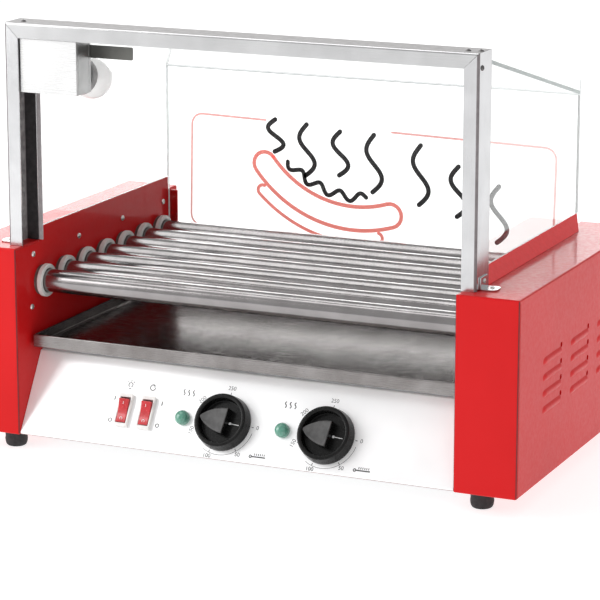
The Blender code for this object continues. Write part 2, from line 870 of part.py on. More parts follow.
def lamp_globe(look):
    centre = 0.036
    profile = [(0.0085, 0.0070), (0.0165, 0.0070)]
    for step in range(1, 9):
        angle = math.radians(150 - 17.5 * step)
        profile.append((centre + GLOBE_RADIUS * math.cos(angle), GLOBE_RADIUS * math.sin(angle)))
    tilt = (-LAMP_TILT, 0, 0)
    return add_object("lamp_globe", turned(profile, 24, "Y"), look, location=LAMP_AXIS, rotation=tilt)


# Cable gland ----------------------------------------------------------------------------------------


def cable_gland(look):
    """Strain-relief gland in the rear wall. Its nut ends as far back as the knobs reach forward."""
    wall = PAN_BACK + GAP
    bore = 0.004
    profile = [
        (PAN_BACK - 0.008, bore),
        (PAN_BACK - 0.008, 0.0080),
        (wall, 0.0080),
        (wall, 0.0120),
        (wall + 0.004, 0.0120),
        (wall + 0.006, 0.0100),
        (KNOB_REACH - 0.003, 0.0090),
        (KNOB_REACH, 0.0065),
        (KNOB_REACH, bore),
    ]
    shape = turned(profile, 16, "Y", hollow=True)
    return add_object("cable_gland", shape, look, location=(GLAND_X, 0, GLAND_Z))


# The whole grill ------------------------------------------------------------------------------------


def build_body(looks, panel_frame):
    casing("left_casing", -1, looks["red_paint"])
    right = casing("right_casing", 1, looks["red_paint"])
    cut_louvres(right)
    bearing_plate("left_bearing_plate", -1, looks["red_paint"])
    bearing_plate("right_bearing_plate", 1, looks["red_paint"])
    for name, x_side, y_side in (
        ("foot_front_left", -1, -1),
        ("foot_front_right", 1, -1),
        ("foot_rear_left", -1, 1),
        ("foot_rear_right", 1, 1),
    ):
        foot(name, x_side * 0.247, y_side * 0.148, looks["black_rubber"])
    chassis_pan(looks["zinc_steel"])
    cut_panel(control_panel(looks["panel_steel"]), panel_frame)
    tray_shelf(looks["zinc_steel"])
    drip_tray(looks["brushed_steel"])
    cable_gland(looks["black_rubber"])


def build_drive(looks):
    for index in range(ROLLERS):
        roller(index, looks["roller_steel"])
        roller_sprocket(index, looks["zinc_steel"])
        left_bush(index, looks["white_collar"])
    right_bush_strip(looks["white_collar"])
    drive_chain(looks["zinc_steel"])
    gear_motor(looks["grey_plastic"])
    motor_sprocket(looks["zinc_steel"])
    heater_group("front_heaters", 0, FRONT_ZONE - 1, looks["zinc_steel"])
    heater_group("rear_heaters", FRONT_ZONE, ROLLERS - 1, looks["zinc_steel"])


def build_controls(looks, panel):
    for zone, knob_x, lamp_x in zip(("front", "rear"), KNOB_X, LAMP_X):
        knob(f"{zone}_heat_knob", knob_x, looks["black_gloss"], panel)
        thermostat(f"{zone}_thermostat", knob_x, looks["grey_plastic"], panel)
        indicator_lamp(f"{zone}_heat_lamp", lamp_x, looks["green_lens"], panel)
    for use, x in zip(("light", "turn"), SWITCH_X):
        switch_housing(f"{use}_switch_housing", x, looks["white_plastic"], panel)
        rocker(f"{use}_rocker", x, looks["red_plastic"], panel)


def build_hood(looks):
    hood_post("hood_left_post", -1, looks["frame_steel"])
    hood_post("hood_right_post", 1, looks["frame_steel"])
    hood_top_rail(looks["frame_steel"])
    side_pane("left_glass", -1, looks["clear_glass"])
    side_pane("right_glass", 1, looks["clear_glass"])
    top_pane(looks["clear_glass"])
    back_pane(looks["clear_glass"])
    lamp_box(looks["panel_steel"])
    lamp_holder(looks["grey_plastic"])
    lamp_globe(looks["lamp_glass"])


def main():
    clear_scene()
    looks = make_looks()
    panel = bpy.data.objects.new("panel_frame", None)
    panel.location = (0, -DEPTH / 2, FOOT_HEIGHT)
    panel.rotation_euler = (math.pi / 2 - PANEL_LEAN, 0, 0)
    bpy.context.scene.collection.objects.link(panel)
    turn = Matrix.Rotation(math.pi / 2 - PANEL_LEAN, 4, "X")
    panel_frame = Matrix.Translation(panel.location) @ turn
    build_body(looks, panel_frame)
    build_drive(looks)
    build_controls(looks, panel)
    build_hood(looks)


main()
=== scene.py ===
"""Looks of a counter-top hot dog roller grill with a glass hood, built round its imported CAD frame.

Metres, in the frame's own axes: X runs along the rollers, Y to the back and Z up.
"""

import json
import math

import bmesh
import bpy
from mathutils import Matrix, Vector


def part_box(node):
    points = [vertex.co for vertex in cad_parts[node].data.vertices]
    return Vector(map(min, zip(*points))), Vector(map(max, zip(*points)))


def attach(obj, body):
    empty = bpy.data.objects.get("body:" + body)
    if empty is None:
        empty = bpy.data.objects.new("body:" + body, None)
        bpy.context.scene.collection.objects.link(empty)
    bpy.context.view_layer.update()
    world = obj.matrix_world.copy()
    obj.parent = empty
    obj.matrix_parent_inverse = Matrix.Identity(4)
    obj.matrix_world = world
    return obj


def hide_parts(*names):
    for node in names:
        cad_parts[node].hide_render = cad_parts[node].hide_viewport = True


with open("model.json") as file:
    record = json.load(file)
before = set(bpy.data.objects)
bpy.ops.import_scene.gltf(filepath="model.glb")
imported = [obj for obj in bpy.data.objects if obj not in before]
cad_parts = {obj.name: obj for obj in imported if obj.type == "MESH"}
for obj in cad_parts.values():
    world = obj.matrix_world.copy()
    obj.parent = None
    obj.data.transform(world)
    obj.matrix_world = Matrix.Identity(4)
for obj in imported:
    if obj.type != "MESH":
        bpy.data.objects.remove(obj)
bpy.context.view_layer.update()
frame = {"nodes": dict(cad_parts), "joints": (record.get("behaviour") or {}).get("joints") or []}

# Camera: where it stands, how it is turned and its lens in millimetres
CAMERA_PLACE = (1.1217, -2.4959, 0.8026)
CAMERA_TURN = (76.379, 0.0, 24.289)
LENS = 169.8

# Sheet stock and small clearances, as in the CAD
SHEET = 0.0015
PLATE = 0.002
GAP = 0.0003
BEND = 0.0010
GLASS = 0.004
EMBED = 0.0002
INK = 0.00006
FILM = 0.00015

# Angles and places that a node's box doesn't give
PANEL_LEAN = math.radians(31)
PANE_SLOPE = 0.2625
SIDE_PANE_SLOPE = 0.238
BEAD_BACK = 0.1535
BEAD_BACK_OUTSIDE = 0.126
BEAD_OUTSIDE = 0.2425
LIP_BACK = 0.152
LOUVRES = [(y, 0.0865 + 0.0156 * i) for y in (-0.0855, -0.0075, 0.0705) for i in range(4)]
LOUVRE_LENGTH = 0.049
LOUVRE_HEIGHT = 0.0085
LOUVRE_RISE = 0.0019
LOUVRE_NOSE = 0.009
PLATE_SCREWS = [(-0.140, 0.194), (-0.047, 0.194), (0.047, 0.194), (0.140, 0.194), (-0.1447, 0.142)]
FRAME_LEG = 0.0145
LAMP_TILT = math.radians(13.5)
LAMP_Z = 0.3725
ROCKER_TILT = math.radians(8)
BEZEL = 0.0045
BEZEL_HALF = (0.0072, 0.0165)
LENS_RADIUS = 0.0072
LENS_HOLE = 0.0064
GLAND_BORE = 0.0040
GLOBE_RADIUS = 0.0205
GLOBE_REACH = 0.036

# Collars and the holes they sit in
COLLAR_BORE = 0.0120
COLLAR_RADIUS = 0.0163
COLLAR_FLANGE = 0.0050
HUB_RADIUS = 0.0150
SLEEVE_RADIUS = 0.0137
PLATE_HOLE = 0.0142

# Knob: a cup with a drop-shaped grip on its floor
KNOB_TURN = math.radians(-5)
KNOB_RIM = 0.0135
KNOB_RIM_RADIUS = 0.0263
KNOB_WELL = 0.0218
KNOB_FLOOR = 0.0050
GRIP_TIP = -0.0212
GRIP_END = 0.0062
GRIP_HALF = 0.0128
GRIP_LOW = 0.0125
GRIP_TOP = 0.0150

# Drawing on the back pane, with its places as (x, z)
DECAL_CENTRE = (0.004, 0.245)
BOW_CENTRE = Vector((-0.012, 0.322))
BOW_RADIUS = 0.130
SAUSAGE_HALF = 0.0125

SIDES = (("left", -1), ("right", 1))
ROLLERS = [f"roller_{i + 1}" for i in range(7)]
JOINTS = {joint["name"]: joint for joint in frame["joints"]}
LOOKS = {}


# Camera, light and floor ----------------------------------------


def add_camera():
    camera = bpy.data.objects.new("camera", bpy.data.cameras.new("camera"))
    camera.data.lens = LENS
    camera.data.sensor_width = 36.0
    camera.data.clip_end = 60.0
    camera.location = CAMERA_PLACE
    camera.rotation_euler = [math.radians(angle) for angle in CAMERA_TURN]
    bpy.context.scene.collection.objects.link(camera)
    bpy.context.scene.camera = camera


def add_softbox(name, place, target, size, power):
    light = bpy.data.lights.new(name, "AREA")
    light.shape = "RECTANGLE"
    light.size = size[0]
    light.size_y = size[1]
    light.energy = power
    obj = bpy.data.objects.new(name, light)
    obj.location = place
    obj.rotation_euler = (Vector(target) - Vector(place)).to_track_quat("-Z", "Y").to_euler()
    bpy.context.scene.collection.objects.link(obj)


def add_world(strength):
    world = bpy.data.worlds.new("studio")
    world.use_nodes = True
    background = world.node_tree.nodes["Background"]
    background.inputs["Color"].default_value = (1.0, 1.0, 1.0, 1.0)
    background.inputs["Strength"].default_value = strength
    bpy.context.scene.world = world


def add_floor():
    shape = bmesh.new()
    bmesh.ops.create_grid(shape, x_segments=8, y_segments=8, size=14.0)
    floor = new_object("floor", shape)
    floor.data.materials.append(LOOKS["floor"])


def light_studio():
    bpy.context.scene.view_settings.view_transform = "Standard"
    add_world(0.62)
    add_softbox("key", (-1.43, -1.05, 0.82), (0, 0, 0.15), (1.2, 1.2), 18)
    add_softbox("top", (-0.96, -0.12, 2.35), (0, 0, 0.2), (1.6, 1.2), 12)
    add_softbox("back", (-1.2, 2.7, 1.05), (0, 0, 0.15), (3.0, 1.3), 40)
    add_floor()


# Materials ----------------------------------------

GRAIN_X = (0.015, 1, 1)
GRAIN_Z = (1, 1, 0.015)
NO_GRAIN = (1, 1, 1)

# Dark and light colour (one value is a neutral grey), least and greatest roughness, other sockets
MOULDED = {
    "panel_hem_shade": ((0.30, 0.21, 0.20), (0.40, 0.29, 0.28), 0.35, 0.50),
    "front_fold_shade_red": ((0.17, 0.004, 0.006), (0.22, 0.006, 0.008), 0.40, 0.55),
    "lit_bead_red": ((0.92, 0.016, 0.020), (0.98, 0.022, 0.026), 0.38, 0.50),
    "rail_top_shade": ((0.38, 0.37, 0.37), (0.46, 0.45, 0.45), 0.62, 0.72, {"Specular IOR Level": 0.15}),
    # The three channel looks below are painted shade on the hood frame's steel channels.
    "channel_inside_shade": ((0.025, 0.022, 0.024), (0.045, 0.040, 0.042), 0.40, 0.55),
    "channel_web_shade": ((0.22, 0.21, 0.21), (0.42, 0.40, 0.40), 0.40, 0.55),
    "bend_shade_grey": ((0.18, 0.16, 0.165), (0.24, 0.215, 0.22), 0.40, 0.55),
    "strip_grey": ((0.46, 0.42, 0.43), (0.54, 0.50, 0.51), 0.40, 0.55),
    "white_collar": ((0.70, 0.69, 0.67), (0.79, 0.78, 0.76), 0.38, 0.52),
    "switch_white": ((0.80, 0.78, 0.76), (0.87, 0.85, 0.83), 0.26, 0.36),
    "knob_black": (0.005, 0.008, 0.22, 0.30, {"Specular IOR Level": 0.20}),
    "lit_grip_grey": ((0.026, 0.025, 0.025), (0.052, 0.050, 0.050), 0.34, 0.46),
    "painted_hub_shade": ((0.10, 0.075, 0.07), (0.16, 0.12, 0.11), 0.50, 0.65),
    "black_rubber": ((0.012, 0.012, 0.013), (0.024, 0.024, 0.025), 0.55, 0.75),
    "rocker_red": (
        (0.50, 0.014, 0.020), (0.60, 0.022, 0.030), 0.20, 0.30, {"Coat Weight": 0.6, "Coat Roughness": 0.06}
    ),
    "thermostat_body": ((0.05, 0.05, 0.055), (0.09, 0.09, 0.095), 0.45, 0.60),
    "lamp_holder_grey": (0.34, 0.42, 0.40, 0.55),
}

# Dark and light colour, least and greatest roughness, grain, depth of the grain and of the waves
BRUSHED = {
    "roller_steel": ((0.29, 0.275, 0.275), (0.35, 0.335, 0.335), 0.15, 0.22, GRAIN_X, 0.03, 0.02),
    "rail_steel": ((0.55, 0.55, 0.555), (0.62, 0.62, 0.625), 0.16, 0.26, GRAIN_X),
    "post_steel": ((0.58, 0.58, 0.59), (0.65, 0.65, 0.66), 0.16, 0.26, GRAIN_Z),
    "panel_steel": ((0.90, 0.90, 0.905), (0.95, 0.95, 0.955), 0.28, 0.34, GRAIN_X, 0.02, 0.04),
    "tray_steel": ((0.24, 0.215, 0.21), (0.36, 0.33, 0.32), 0.16, 0.30, (0.02, 1, 1)),
    "tray_lip": ((0.22, 0.205, 0.20), (0.30, 0.285, 0.28), 0.22, 0.34, GRAIN_X),
    "lamp_lit_front": (0.74, 0.80, 0.24, 0.32, GRAIN_X, 0.03, 0.04),
    "lamp_shaded_side": (0.42, 0.56, 0.30, 0.40, GRAIN_X, 0.05),
    "strap_steel": ((0.10, 0.10, 0.095), (0.15, 0.15, 0.14), 0.32, 0.48, GRAIN_X),
    "screw_steel": ((0.62, 0.60, 0.58), (0.80, 0.78, 0.76), 0.18, 0.34, NO_GRAIN),
    "dark_screw": (0.10, (0.22, 0.21, 0.21), 0.25, 0.40, NO_GRAIN),
}


def tone(colour):
    """A colour as its three values. One value alone is a neutral grey."""
    return colour if isinstance(colour, tuple) else (colour, colour, colour)


def shader_of(look):
    return look.node_tree.nodes["Principled BSDF"]


def set_sockets(look, sockets):
    for socket, value in sockets.items():
        shader_of(look).inputs[socket].default_value = value


def make_look(name, colour, roughness, metallic=0.0, sockets=None):
    """A Principled material, filed in LOOKS. What is the same all over is set on the shader's own sockets."""
    look = bpy.data.materials.new(name)
    look.use_nodes = True
    set_sockets(look, {"Base Color": (*tone(colour), 1.0), "Roughness": roughness, "Metallic": metallic})
    set_sockets(look, sockets or {})
    LOOKS[name] = look
    return look


def glow(look, colour, strength):
    """Makes a look carry some of the bright room's light by itself."""
    set_sockets(look, {"Emission Color": (*tone(colour), 1.0), "Emission Strength": strength})


def noise(look, scale, stretch=(1, 1, 1), detail=3.0):
    """Noise in the object's own coordinates, drawn out along any axis whose stretch is small."""
    nodes = look.node_tree.nodes
    links = look.node_tree.links
    place = nodes.new("ShaderNodeTexCoord")
    mapping = nodes.new("ShaderNodeMapping")
    mapping.inputs["Scale"].default_value = [scale * axis for axis in stretch]
    texture = nodes.new("ShaderNodeTexNoise")
    texture.inputs["Scale"].default_value = 1.0
    texture.inputs["Detail"].default_value = detail
    links.new(place.outputs["Object"], mapping.inputs["Vector"])
    links.new(mapping.outputs["Vector"], texture.inputs["Vector"])
    return texture.outputs["Fac"]


def cells(look, scale):
    """Flat-toned cells, such as the spangle of galvanised steel."""
    nodes = look.node_tree.nodes
    place = nodes.new("ShaderNodeTexCoord")
    texture = nodes.new("ShaderNodeTexVoronoi")
    texture.inputs["Scale"].default_value = scale
    look.node_tree.links.new(place.outputs["Object"], texture.inputs["Vector"])
    return texture.outputs["Color"]


def vary_colour(look, source, dark, light, low=0.35, high=0.65):
    ramp = look.node_tree.nodes.new("ShaderNodeValToRGB")
    ramp.color_ramp.elements[0].position = low
    ramp.color_ramp.elements[0].color = (*tone(dark), 1.0)
    ramp.color_ramp.elements[1].position = high
    ramp.color_ramp.elements[1].color = (*tone(light), 1.0)
    look.node_tree.links.new(source, ramp.inputs["Fac"])
    look.node_tree.links.new(ramp.outputs["Color"], shader_of(look).inputs["Base Color"])


def vary_roughness(look, source, smooth, rough):
    spread = look.node_tree.nodes.new("ShaderNodeMapRange")
    spread.inputs["From Min"].default_value = 0.3
    spread.inputs["From Max"].default_value = 0.7
    spread.inputs["To Min"].default_value = smooth
    spread.inputs["To Max"].default_value = rough
    look.node_tree.links.new(source, spread.inputs["Value"])
    look.node_tree.links.new(spread.outputs["Result"], shader_of(look).inputs["Roughness"])


def add_bump(look, source, strength, distance):
    links = look.node_tree.links
    normal = shader_of(look).inputs["Normal"]
    bump = look.node_tree.nodes.new("ShaderNodeBump")
    bump.inputs["Strength"].default_value = strength
    bump.inputs["Distance"].default_value = distance
    if normal.is_linked:
        links.new(normal.links[0].from_socket, bump.inputs["Normal"])
    links.new(source, bump.inputs["Height"])
    links.new(bump.outputs["Normal"], normal)


def brushed(name, dark, light, smooth, rough, grain, strength=0.12, warp=0.15):
    """Brushed steel whose grain runs along the axis with the small stretch."""
    look = make_look(name, light, rough, 1.0)
    vary_colour(look, noise(look, 30.0), dark, light)
    vary_roughness(look, noise(look, 2600.0, grain, 2.0), smooth, rough)
    add_bump(look, noise(look, 3200.0, grain, 2.0), strength, 0.00005)
    add_bump(look, noise(look, 9.0), warp, 0.0008)
    return look


def moulded(name, dark, light, smooth, rough, sockets=None):
    """Moulded plastic or rubber with a fine grain."""
    look = make_look(name, light, rough, 0.0, sockets)
    vary_colour(look, noise(look, 180.0), dark, light)
    vary_roughness(look, noise(look, 420.0), smooth, rough)
    add_bump(look, noise(look, 1800.0), 0.10, 0.00006)
    return look


def painted(name, dark, light):
    """Powder coat with a faint orange peel."""
    sockets = {"Specular IOR Level": 0.10, "Coat Weight": 0.30, "Coat Roughness": 0.08, "Coat IOR": 1.3}
    look = make_look(name, light, 0.40, 0.0, sockets)
    vary_colour(look, noise(look, 6.0, detail=5.0), dark, light)
    vary_roughness(look, noise(look, 260.0), 0.34, 0.46)
    add_bump(look, noise(look, 620.0, detail=2.0), 0.02, 0.00003)


def galvanised(name, dark, light):
    look = make_look(name, light, 0.42, 1.0)
    vary_colour(look, cells(look, 160.0), dark, light, 0.1, 0.9)
    vary_roughness(look, noise(look, 90.0), 0.34, 0.52)
    add_bump(look, noise(look, 700.0), 0.10, 0.0001)


def clear_glass():
    sockets = {"Transmission Weight": 1.0, "IOR": 1.45}
    look = make_look("clear_glass", (0.985, 0.996, 0.992), 0.0, 0.0, sockets)
    vary_roughness(look, noise(look, 12.0), 0.0, 0.012)


def glass_edge(name, dark, light, through):
    """Ground edge of a pane."""
    look = make_look(name, light, 0.30, 0.0, {"Transmission Weight": through, "IOR": 1.45})
    vary_colour(look, noise(look, 70.0), dark, light)
    vary_roughness(look, noise(look, 900.0), 0.22, 0.42)


def green_lens():
    sockets = {"Transmission Weight": 0.25, "Coat Weight": 0.8, "Coat Roughness": 0.05}
    look = make_look("green_lens", (0.12, 0.40, 0.29), 0.22, 0.0, sockets)
    vary_colour(look, noise(look, 500.0), (0.10, 0.35, 0.25), (0.16, 0.46, 0.34))
    add_bump(look, noise(look, 1500.0), 0.15, 0.00008)


def lamp_white():
    sockets = {"Coat Weight": 0.4, "Coat Roughness": 0.10}
    look = make_look("lamp_white", (0.93, 0.93, 0.92), 0.20, 0.0, sockets)
    vary_colour(look, noise(look, 60.0), (0.90, 0.90, 0.89), (0.95, 0.95, 0.94))
    add_bump(look, noise(look, 500.0), 0.05, 0.00005)
    glow(look, 1.0, 0.20)


def printed(name, dark, light, roughness=0.45):
    look = make_look(name, light, roughness)
    vary_colour(look, noise(look, 900.0), dark, light)
    vary_roughness(look, noise(look, 1300.0), roughness - 0.08, roughness + 0.08)


def backlit(name, dark, light):
    """Translucent printed film with the bright room behind it."""
    printed(name, dark, light, 0.35)
    glow(LOOKS[name], light, 0.42)


def make_looks():
    for name, values in MOULDED.items():
        moulded(name, *values)
    for name, values in BRUSHED.items():
        brushed(name, *values)
    set_sockets(LOOKS["panel_steel"], {"Metallic": 0.30})
    # Painted light: the panel's steel glows faintly, which lightens the shade under the tray's overhang.
    glow(LOOKS["panel_steel"], 1.0, 0.10)
    set_sockets(LOOKS["lamp_lit_front"], {"Metallic": 0.4})
    tray = LOOKS["tray_steel"]
    vary_colour(tray, noise(tray, 22.0, detail=6.0), *BRUSHED["tray_steel"][:2], 0.30, 0.60)
    painted("red_paint", (0.60, 0.008, 0.009), (0.66, 0.010, 0.012))
    galvanised("zinc_steel", (0.44, 0.45, 0.46), (0.58, 0.59, 0.60))
    galvanised("motor_metal", (0.20, 0.20, 0.21), (0.30, 0.30, 0.31))
    green_lens()
    lamp_white()
    clear_glass()
    glass_edge("glass_edge", (0.22, 0.30, 0.28), (0.32, 0.42, 0.40), 0.40)
    glass_edge("pale_glowing_edge", (0.70, 0.74, 0.74), (0.80, 0.84, 0.84), 0.20)
    # Painted light: the pale ground edges of the panes glow faintly, as if lit.
    glow(LOOKS["pale_glowing_edge"], (0.92, 0.96, 0.95), 0.16)
    printed("ink_grey", 0.06, 0.10)
    printed("ink_white", 0.80, 0.88)
    printed("film_black", (0.020, 0.020, 0.022), (0.034, 0.034, 0.036), 0.35)
    backlit("film_red", (0.86, 0.22, 0.19), (0.92, 0.28, 0.24))
    backlit("film_pale", (0.84, 0.40, 0.38), (0.90, 0.47, 0.45))
    floor = make_look("floor", 0.42, 0.75)
    vary_colour(floor, noise(floor, 1.5), 0.41, 0.43)
    glow(floor, 1.0, 0.78)


# Shapes ----------------------------------------


def box(low, high):
    shape = bmesh.new()
    for vertex in bmesh.ops.create_cube(shape, size=1.0)["verts"]:
        for axis in range(3):
            vertex.co[axis] = low[axis] if vertex.co[axis] < 0 else high[axis]
    return shape


def side_box(side, inner, outer, y_range, z_range):
    """A box between two distances from the middle, on the left (side -1) or on the right (side 1)."""
    ends = sorted((side * inner, side * outer))
    return box((ends[0], y_range[0], z_range[0]), (ends[1], y_range[1], z_range[1]))


def rounded_box(low, high, radius, segments=4):
    shape = box(low, high)
    bmesh.ops.bevel(shape, geom=shape.edges[:], offset=radius, segments=segments, profile=0.5, affect="EDGES")
    return shape


def add_band(shape, ring, other):
    for i, vertex in enumerate(ring):
        j = (i + 1) % len(ring)
        shape.faces.new((vertex, ring[j], other[j], other[i]))


def loft(sections, caps=True):
    """Skin over rings of points, each with the same number of them."""
    shape = bmesh.new()
    rings = [[shape.verts.new(point) for point in section] for section in sections]
    for ring, other in zip(rings, rings[1:]):
        add_band(shape, ring, other)
    if caps:
        shape.faces.new(rings[0])
        shape.faces.new(rings[-1])
    else:
        add_band(shape, rings[-1], rings[0])
    return shape


def prism(outline, start, end, place):
    """A flat outline of (a, b) points drawn out from start to end; place(a, b, c) gives each corner."""
    return loft([[place(a, b, c) for a, b in outline] for c in (start, end)])


def along_x(y, z, x):
    return (x, y, z)


def along_y(x, z, y):
    return (x, y, z)


def along_z(x, y, z):
    return (x, y, z)


def set_axis(along, a, b, axis):
    if axis == "X":
        return (along, a, b)
    if axis == "Y":
        return (a, along, b)
    return (a, b, along)


def turned(profile, sides=64, axis="Z", hollow=False):
    """A profile of (along, radius) points turned about an axis. A hollow profile is a closed loop."""
    turns = [2 * math.pi * i / sides for i in range(sides)]
    sections = []
    for along, radius in profile:
        sections.append([set_axis(along, radius * math.cos(t), radius * math.sin(t), axis) for t in turns])
    return loft(sections, caps=not hollow)


def rod(radius, start, end, sides, axis="Z"):
    """A plain round bar between two places along an axis."""
    return turned([(start, radius), (end, radius)], sides, axis)


def rectangle(left, bottom, right, top):
    return [(left, bottom), (right, bottom), (right, top), (left, top)]


def corner(before, here, after, radius, steps):
    """Points and left-hand normals along the arc that replaces a corner."""
    into = (here - before).normalized()
    out = (after - here).normalized()
    turn = math.atan2(into.x * out.y - into.y * out.x, into.dot(out))
    bend = math.copysign(radius, turn)
    left = Vector((-into.y, into.x))
    centre = here - into * radius * math.tan(abs(turn) / 2) + left * bend
    arc = []
    for step in range(steps + 1):
        normal = Matrix.Rotation(turn * step / steps, 2) @ left
        arc.append((centre - normal * bend, normal))
    return arc


def folded(points, thickness=SHEET, bend=BEND, steps=4):
    """Outline of a folded sheet. The points are its outer line, and the sheet lies on the line's left."""
    points = [Vector(point) for point in points]
    line = []
    for i, here in enumerate(points):
        if 0 < i < len(points) - 1:
            before = points[i - 1]
            after = points[i + 1]
            leftward = (here - before).cross(after - here) > 0
            line += corner(before, here, after, bend + thickness if leftward else bend, steps)
            continue
        run = points[1] - points[0] if i == 0 else points[-1] - points[-2]
        line.append((here, Vector((-run.y, run.x)).normalized()))
    inner = [point + normal * thickness for point, normal in line]
    return [point for point, normal in line] + inner[::-1]


def rounded(points, radius, steps=5):
    """A closed outline with each of its corners turned into an arc."""
    points = [Vector(point) for point in points]
    line = []
    for i, here in enumerate(points):
        line += corner(points[i - 1], here, points[(i + 1) % len(points)], radius, steps)
    return [point for point, normal in line]


def filleted(points, radius, steps=8):
    """An open line with each of its corners turned into an arc."""
    points = [Vector(point) for point in points]
    line = [points[0]]
    for before, here, after in zip(points, points[1:], points[2:]):
        line += [point for point, normal in corner(before, here, after, radius, steps)]
    return line + [points[-1]]


def circle(centre, radius, start=0.0, sweep=360.0, steps=32):
    """Points along an arc, with its angles in degrees."""
    points = []
    for step in range(steps + 1):
        angle = math.radians(start + sweep * step / steps)
        points.append(Vector((centre[0] + radius * math.cos(angle), centre[1] + radius * math.sin(angle))))
    return points


def ribbon(points, width, thickness=INK, caps=4):
    """A flat printed line with round ends, in the XY plane, standing up along Z."""
    points = [Vector(point) for point in points]
    neighbours = zip([points[0]] + points[:-1], points[1:] + [points[-1]])
    runs = [(after - before).normalized() for before, after in neighbours]
    half = width / 2
    angles = [math.pi / 2 * i / caps for i in range(caps)]
    ends = [(half * math.cos(angle), half * max(math.sin(angle), 0.1)) for angle in angles]
    spots = [(points[0] - runs[0] * out, runs[0], reach) for out, reach in ends]
    spots += [(here, run, half) for here, run in zip(points, runs)]
    spots += [(points[-1] + runs[-1] * out, runs[-1], reach) for out, reach in reversed(ends)]
    sections = []
    for here, run, reach in spots:
        side = Vector((-run.y, run.x)) * reach
        near = here + side
        far = here - side
        sections.append([(*near, 0), (*far, 0), (*far, thickness), (*near, thickness)])
    return loft(sections)


def numeral(text, height):
    """A number as a thin solid in the XY plane, centred."""
    curve = bpy.data.curves.new("numeral", "FONT")
    curve.body = text
    curve.size = height
    curve.align_x = "CENTER"
    curve.align_y = "CENTER"
    curve.extrude = INK / 2
    curve.resolution_u = 4
    obj = bpy.data.objects.new("numeral", curve)
    bpy.context.scene.collection.objects.link(obj)
    shape = evaluated(obj)
    bpy.data.objects.remove(obj)
    bmesh.ops.translate(shape, vec=(0, 0, INK / 2), verts=shape.verts)
    return shape


def evaluated(obj):
    """The object's final shape as a new bmesh."""
    graph = bpy.context.evaluated_depsgraph_get()
    mesh = bpy.data.meshes.new_from_object(obj.evaluated_get(graph))
    shape = bmesh.new()
    shape.from_mesh(mesh)
    bpy.data.meshes.remove(mesh)
    return shape


def new_object(name, shape):
    """An object in the scene that holds a shape."""
    mesh = bpy.data.meshes.new(name)
    shape.to_mesh(mesh)
    shape.free()
    obj = bpy.data.objects.new(name, mesh)
    bpy.context.scene.collection.objects.link(obj)
    return obj


def combined(shape, other, operation="DIFFERENCE"):
    """The shape with another cut out of it, or joined on to it."""
    for part in (shape, other):
        bmesh.ops.recalc_face_normals(part, faces=part.faces)
    whole = new_object("helper", shape)
    tool = new_object("helper", other)
    modifier = whole.modifiers.new("Combine", "BOOLEAN")
    modifier.operation = operation
    modifier.solver = "EXACT"
    modifier.object = tool
    result = evaluated(whole)
    bpy.data.objects.remove(whole)
    bpy.data.objects.remove(tool)
    return result


def gathered(shapes):
    """One mesh of several shapes."""
    whole = bmesh.new()
    for shape in shapes:
        bmesh.ops.recalc_face_normals(shape, faces=shape.faces)
        mesh = bpy.data.meshes.new("part")
        shape.to_mesh(mesh)
        shape.free()
        whole.from_mesh(mesh)
        bpy.data.meshes.remove(mesh)
    return whole


def copies(shape, places):
    """One mesh of a shape repeated at several places."""
    repeated = []
    for place in places:
        one = shape.copy()
        one.transform(place)
        repeated.append(one)
    shape.free()
    return gathered(repeated)


def moved(shape, place):
    shape.transform(place if isinstance(place, Matrix) else Matrix.Translation(place))
    return shape


def facing(point, direction):
    """A place whose own Z points along a direction."""
    turn = Vector(direction).to_track_quat("Z", "Y").to_matrix().to_4x4()
    return Matrix.Translation(point) @ turn


def paint(shape, number, chosen):
    """Gives one of the piece's looks to the faces that are chosen by their normal and centre."""
    for face in shape.faces:
        if chosen(face.normal, face.calc_center_median()):
            face.material_index = number


def add_piece(name, shape, looks, node=None, body="chassis", bevel=0.0, sharp=32):
    """A finished piece that rides on a body. It may stand for a CAD node and have its edges broken."""
    bmesh.ops.recalc_face_normals(shape, faces=shape.faces)
    obj = new_object(name, shape)
    looks = looks if isinstance(looks, tuple) else (looks,)
    for look in looks:
        obj.data.materials.append(LOOKS[look])
    obj.data.shade_smooth()
    obj.data.set_sharp_from_angle(angle=math.radians(sharp))
    if bevel:
        edges = obj.modifiers.new("Edges", "BEVEL")
        edges.width = bevel
        edges.segments = 2
        edges.limit_method = "ANGLE"
        edges.angle_limit = math.radians(50)
        edges.harden_normals = True
    else:
        obj.modifiers.new("Normals", "WEIGHTED_NORMAL").keep_sharp = True
    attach(obj, body)
    if node:
        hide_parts(node)


def middle(node):
    low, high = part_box(node)
    return (low + high) / 2


def reach_of(low, high):
    """Least and greatest distance from the middle plane of a box that lies on one side of it."""
    return sorted((abs(low.x), abs(high.x)))


# Casings, plates and feet ----------------------------------------


def casing_top():
    """Height of the casings' flat tops, on which the posts stand."""
    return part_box("hood_left_post")[0].z - GAP


def glazing_bead(side, low, high):
    """Ridge along a casing's top that slopes away from the side pane. Its back end is cut at a slant."""
    inside = reach_of(low, high)[0] + PLATE + 2 * GAP
    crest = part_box("right_glass")[1].x
    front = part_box("hood_left_post")[1].y + GAP
    foot = casing_top()
    section = [(inside, foot - GAP), (inside, high.z), (crest, high.z)]
    section += [(BEAD_OUTSIDE, foot + GAP), (BEAD_OUTSIDE, foot - GAP)]
    slant = (BEAD_BACK - BEAD_BACK_OUTSIDE) / (BEAD_OUTSIDE - inside)
    rings = [[(side * x, front, z) for x, z in section]]
    rings.append([(side * x, BEAD_BACK - slant * (x - inside), z) for x, z in section])
    shape = loft(rings)
    crests = [edge for edge in shape.edges if all(vertex.co.z > high.z - 0.0001 for vertex in edge.verts)]
    bmesh.ops.bevel(shape, geom=crests, offset=0.0006, segments=3, profile=0.5, affect="EDGES")
    return shape


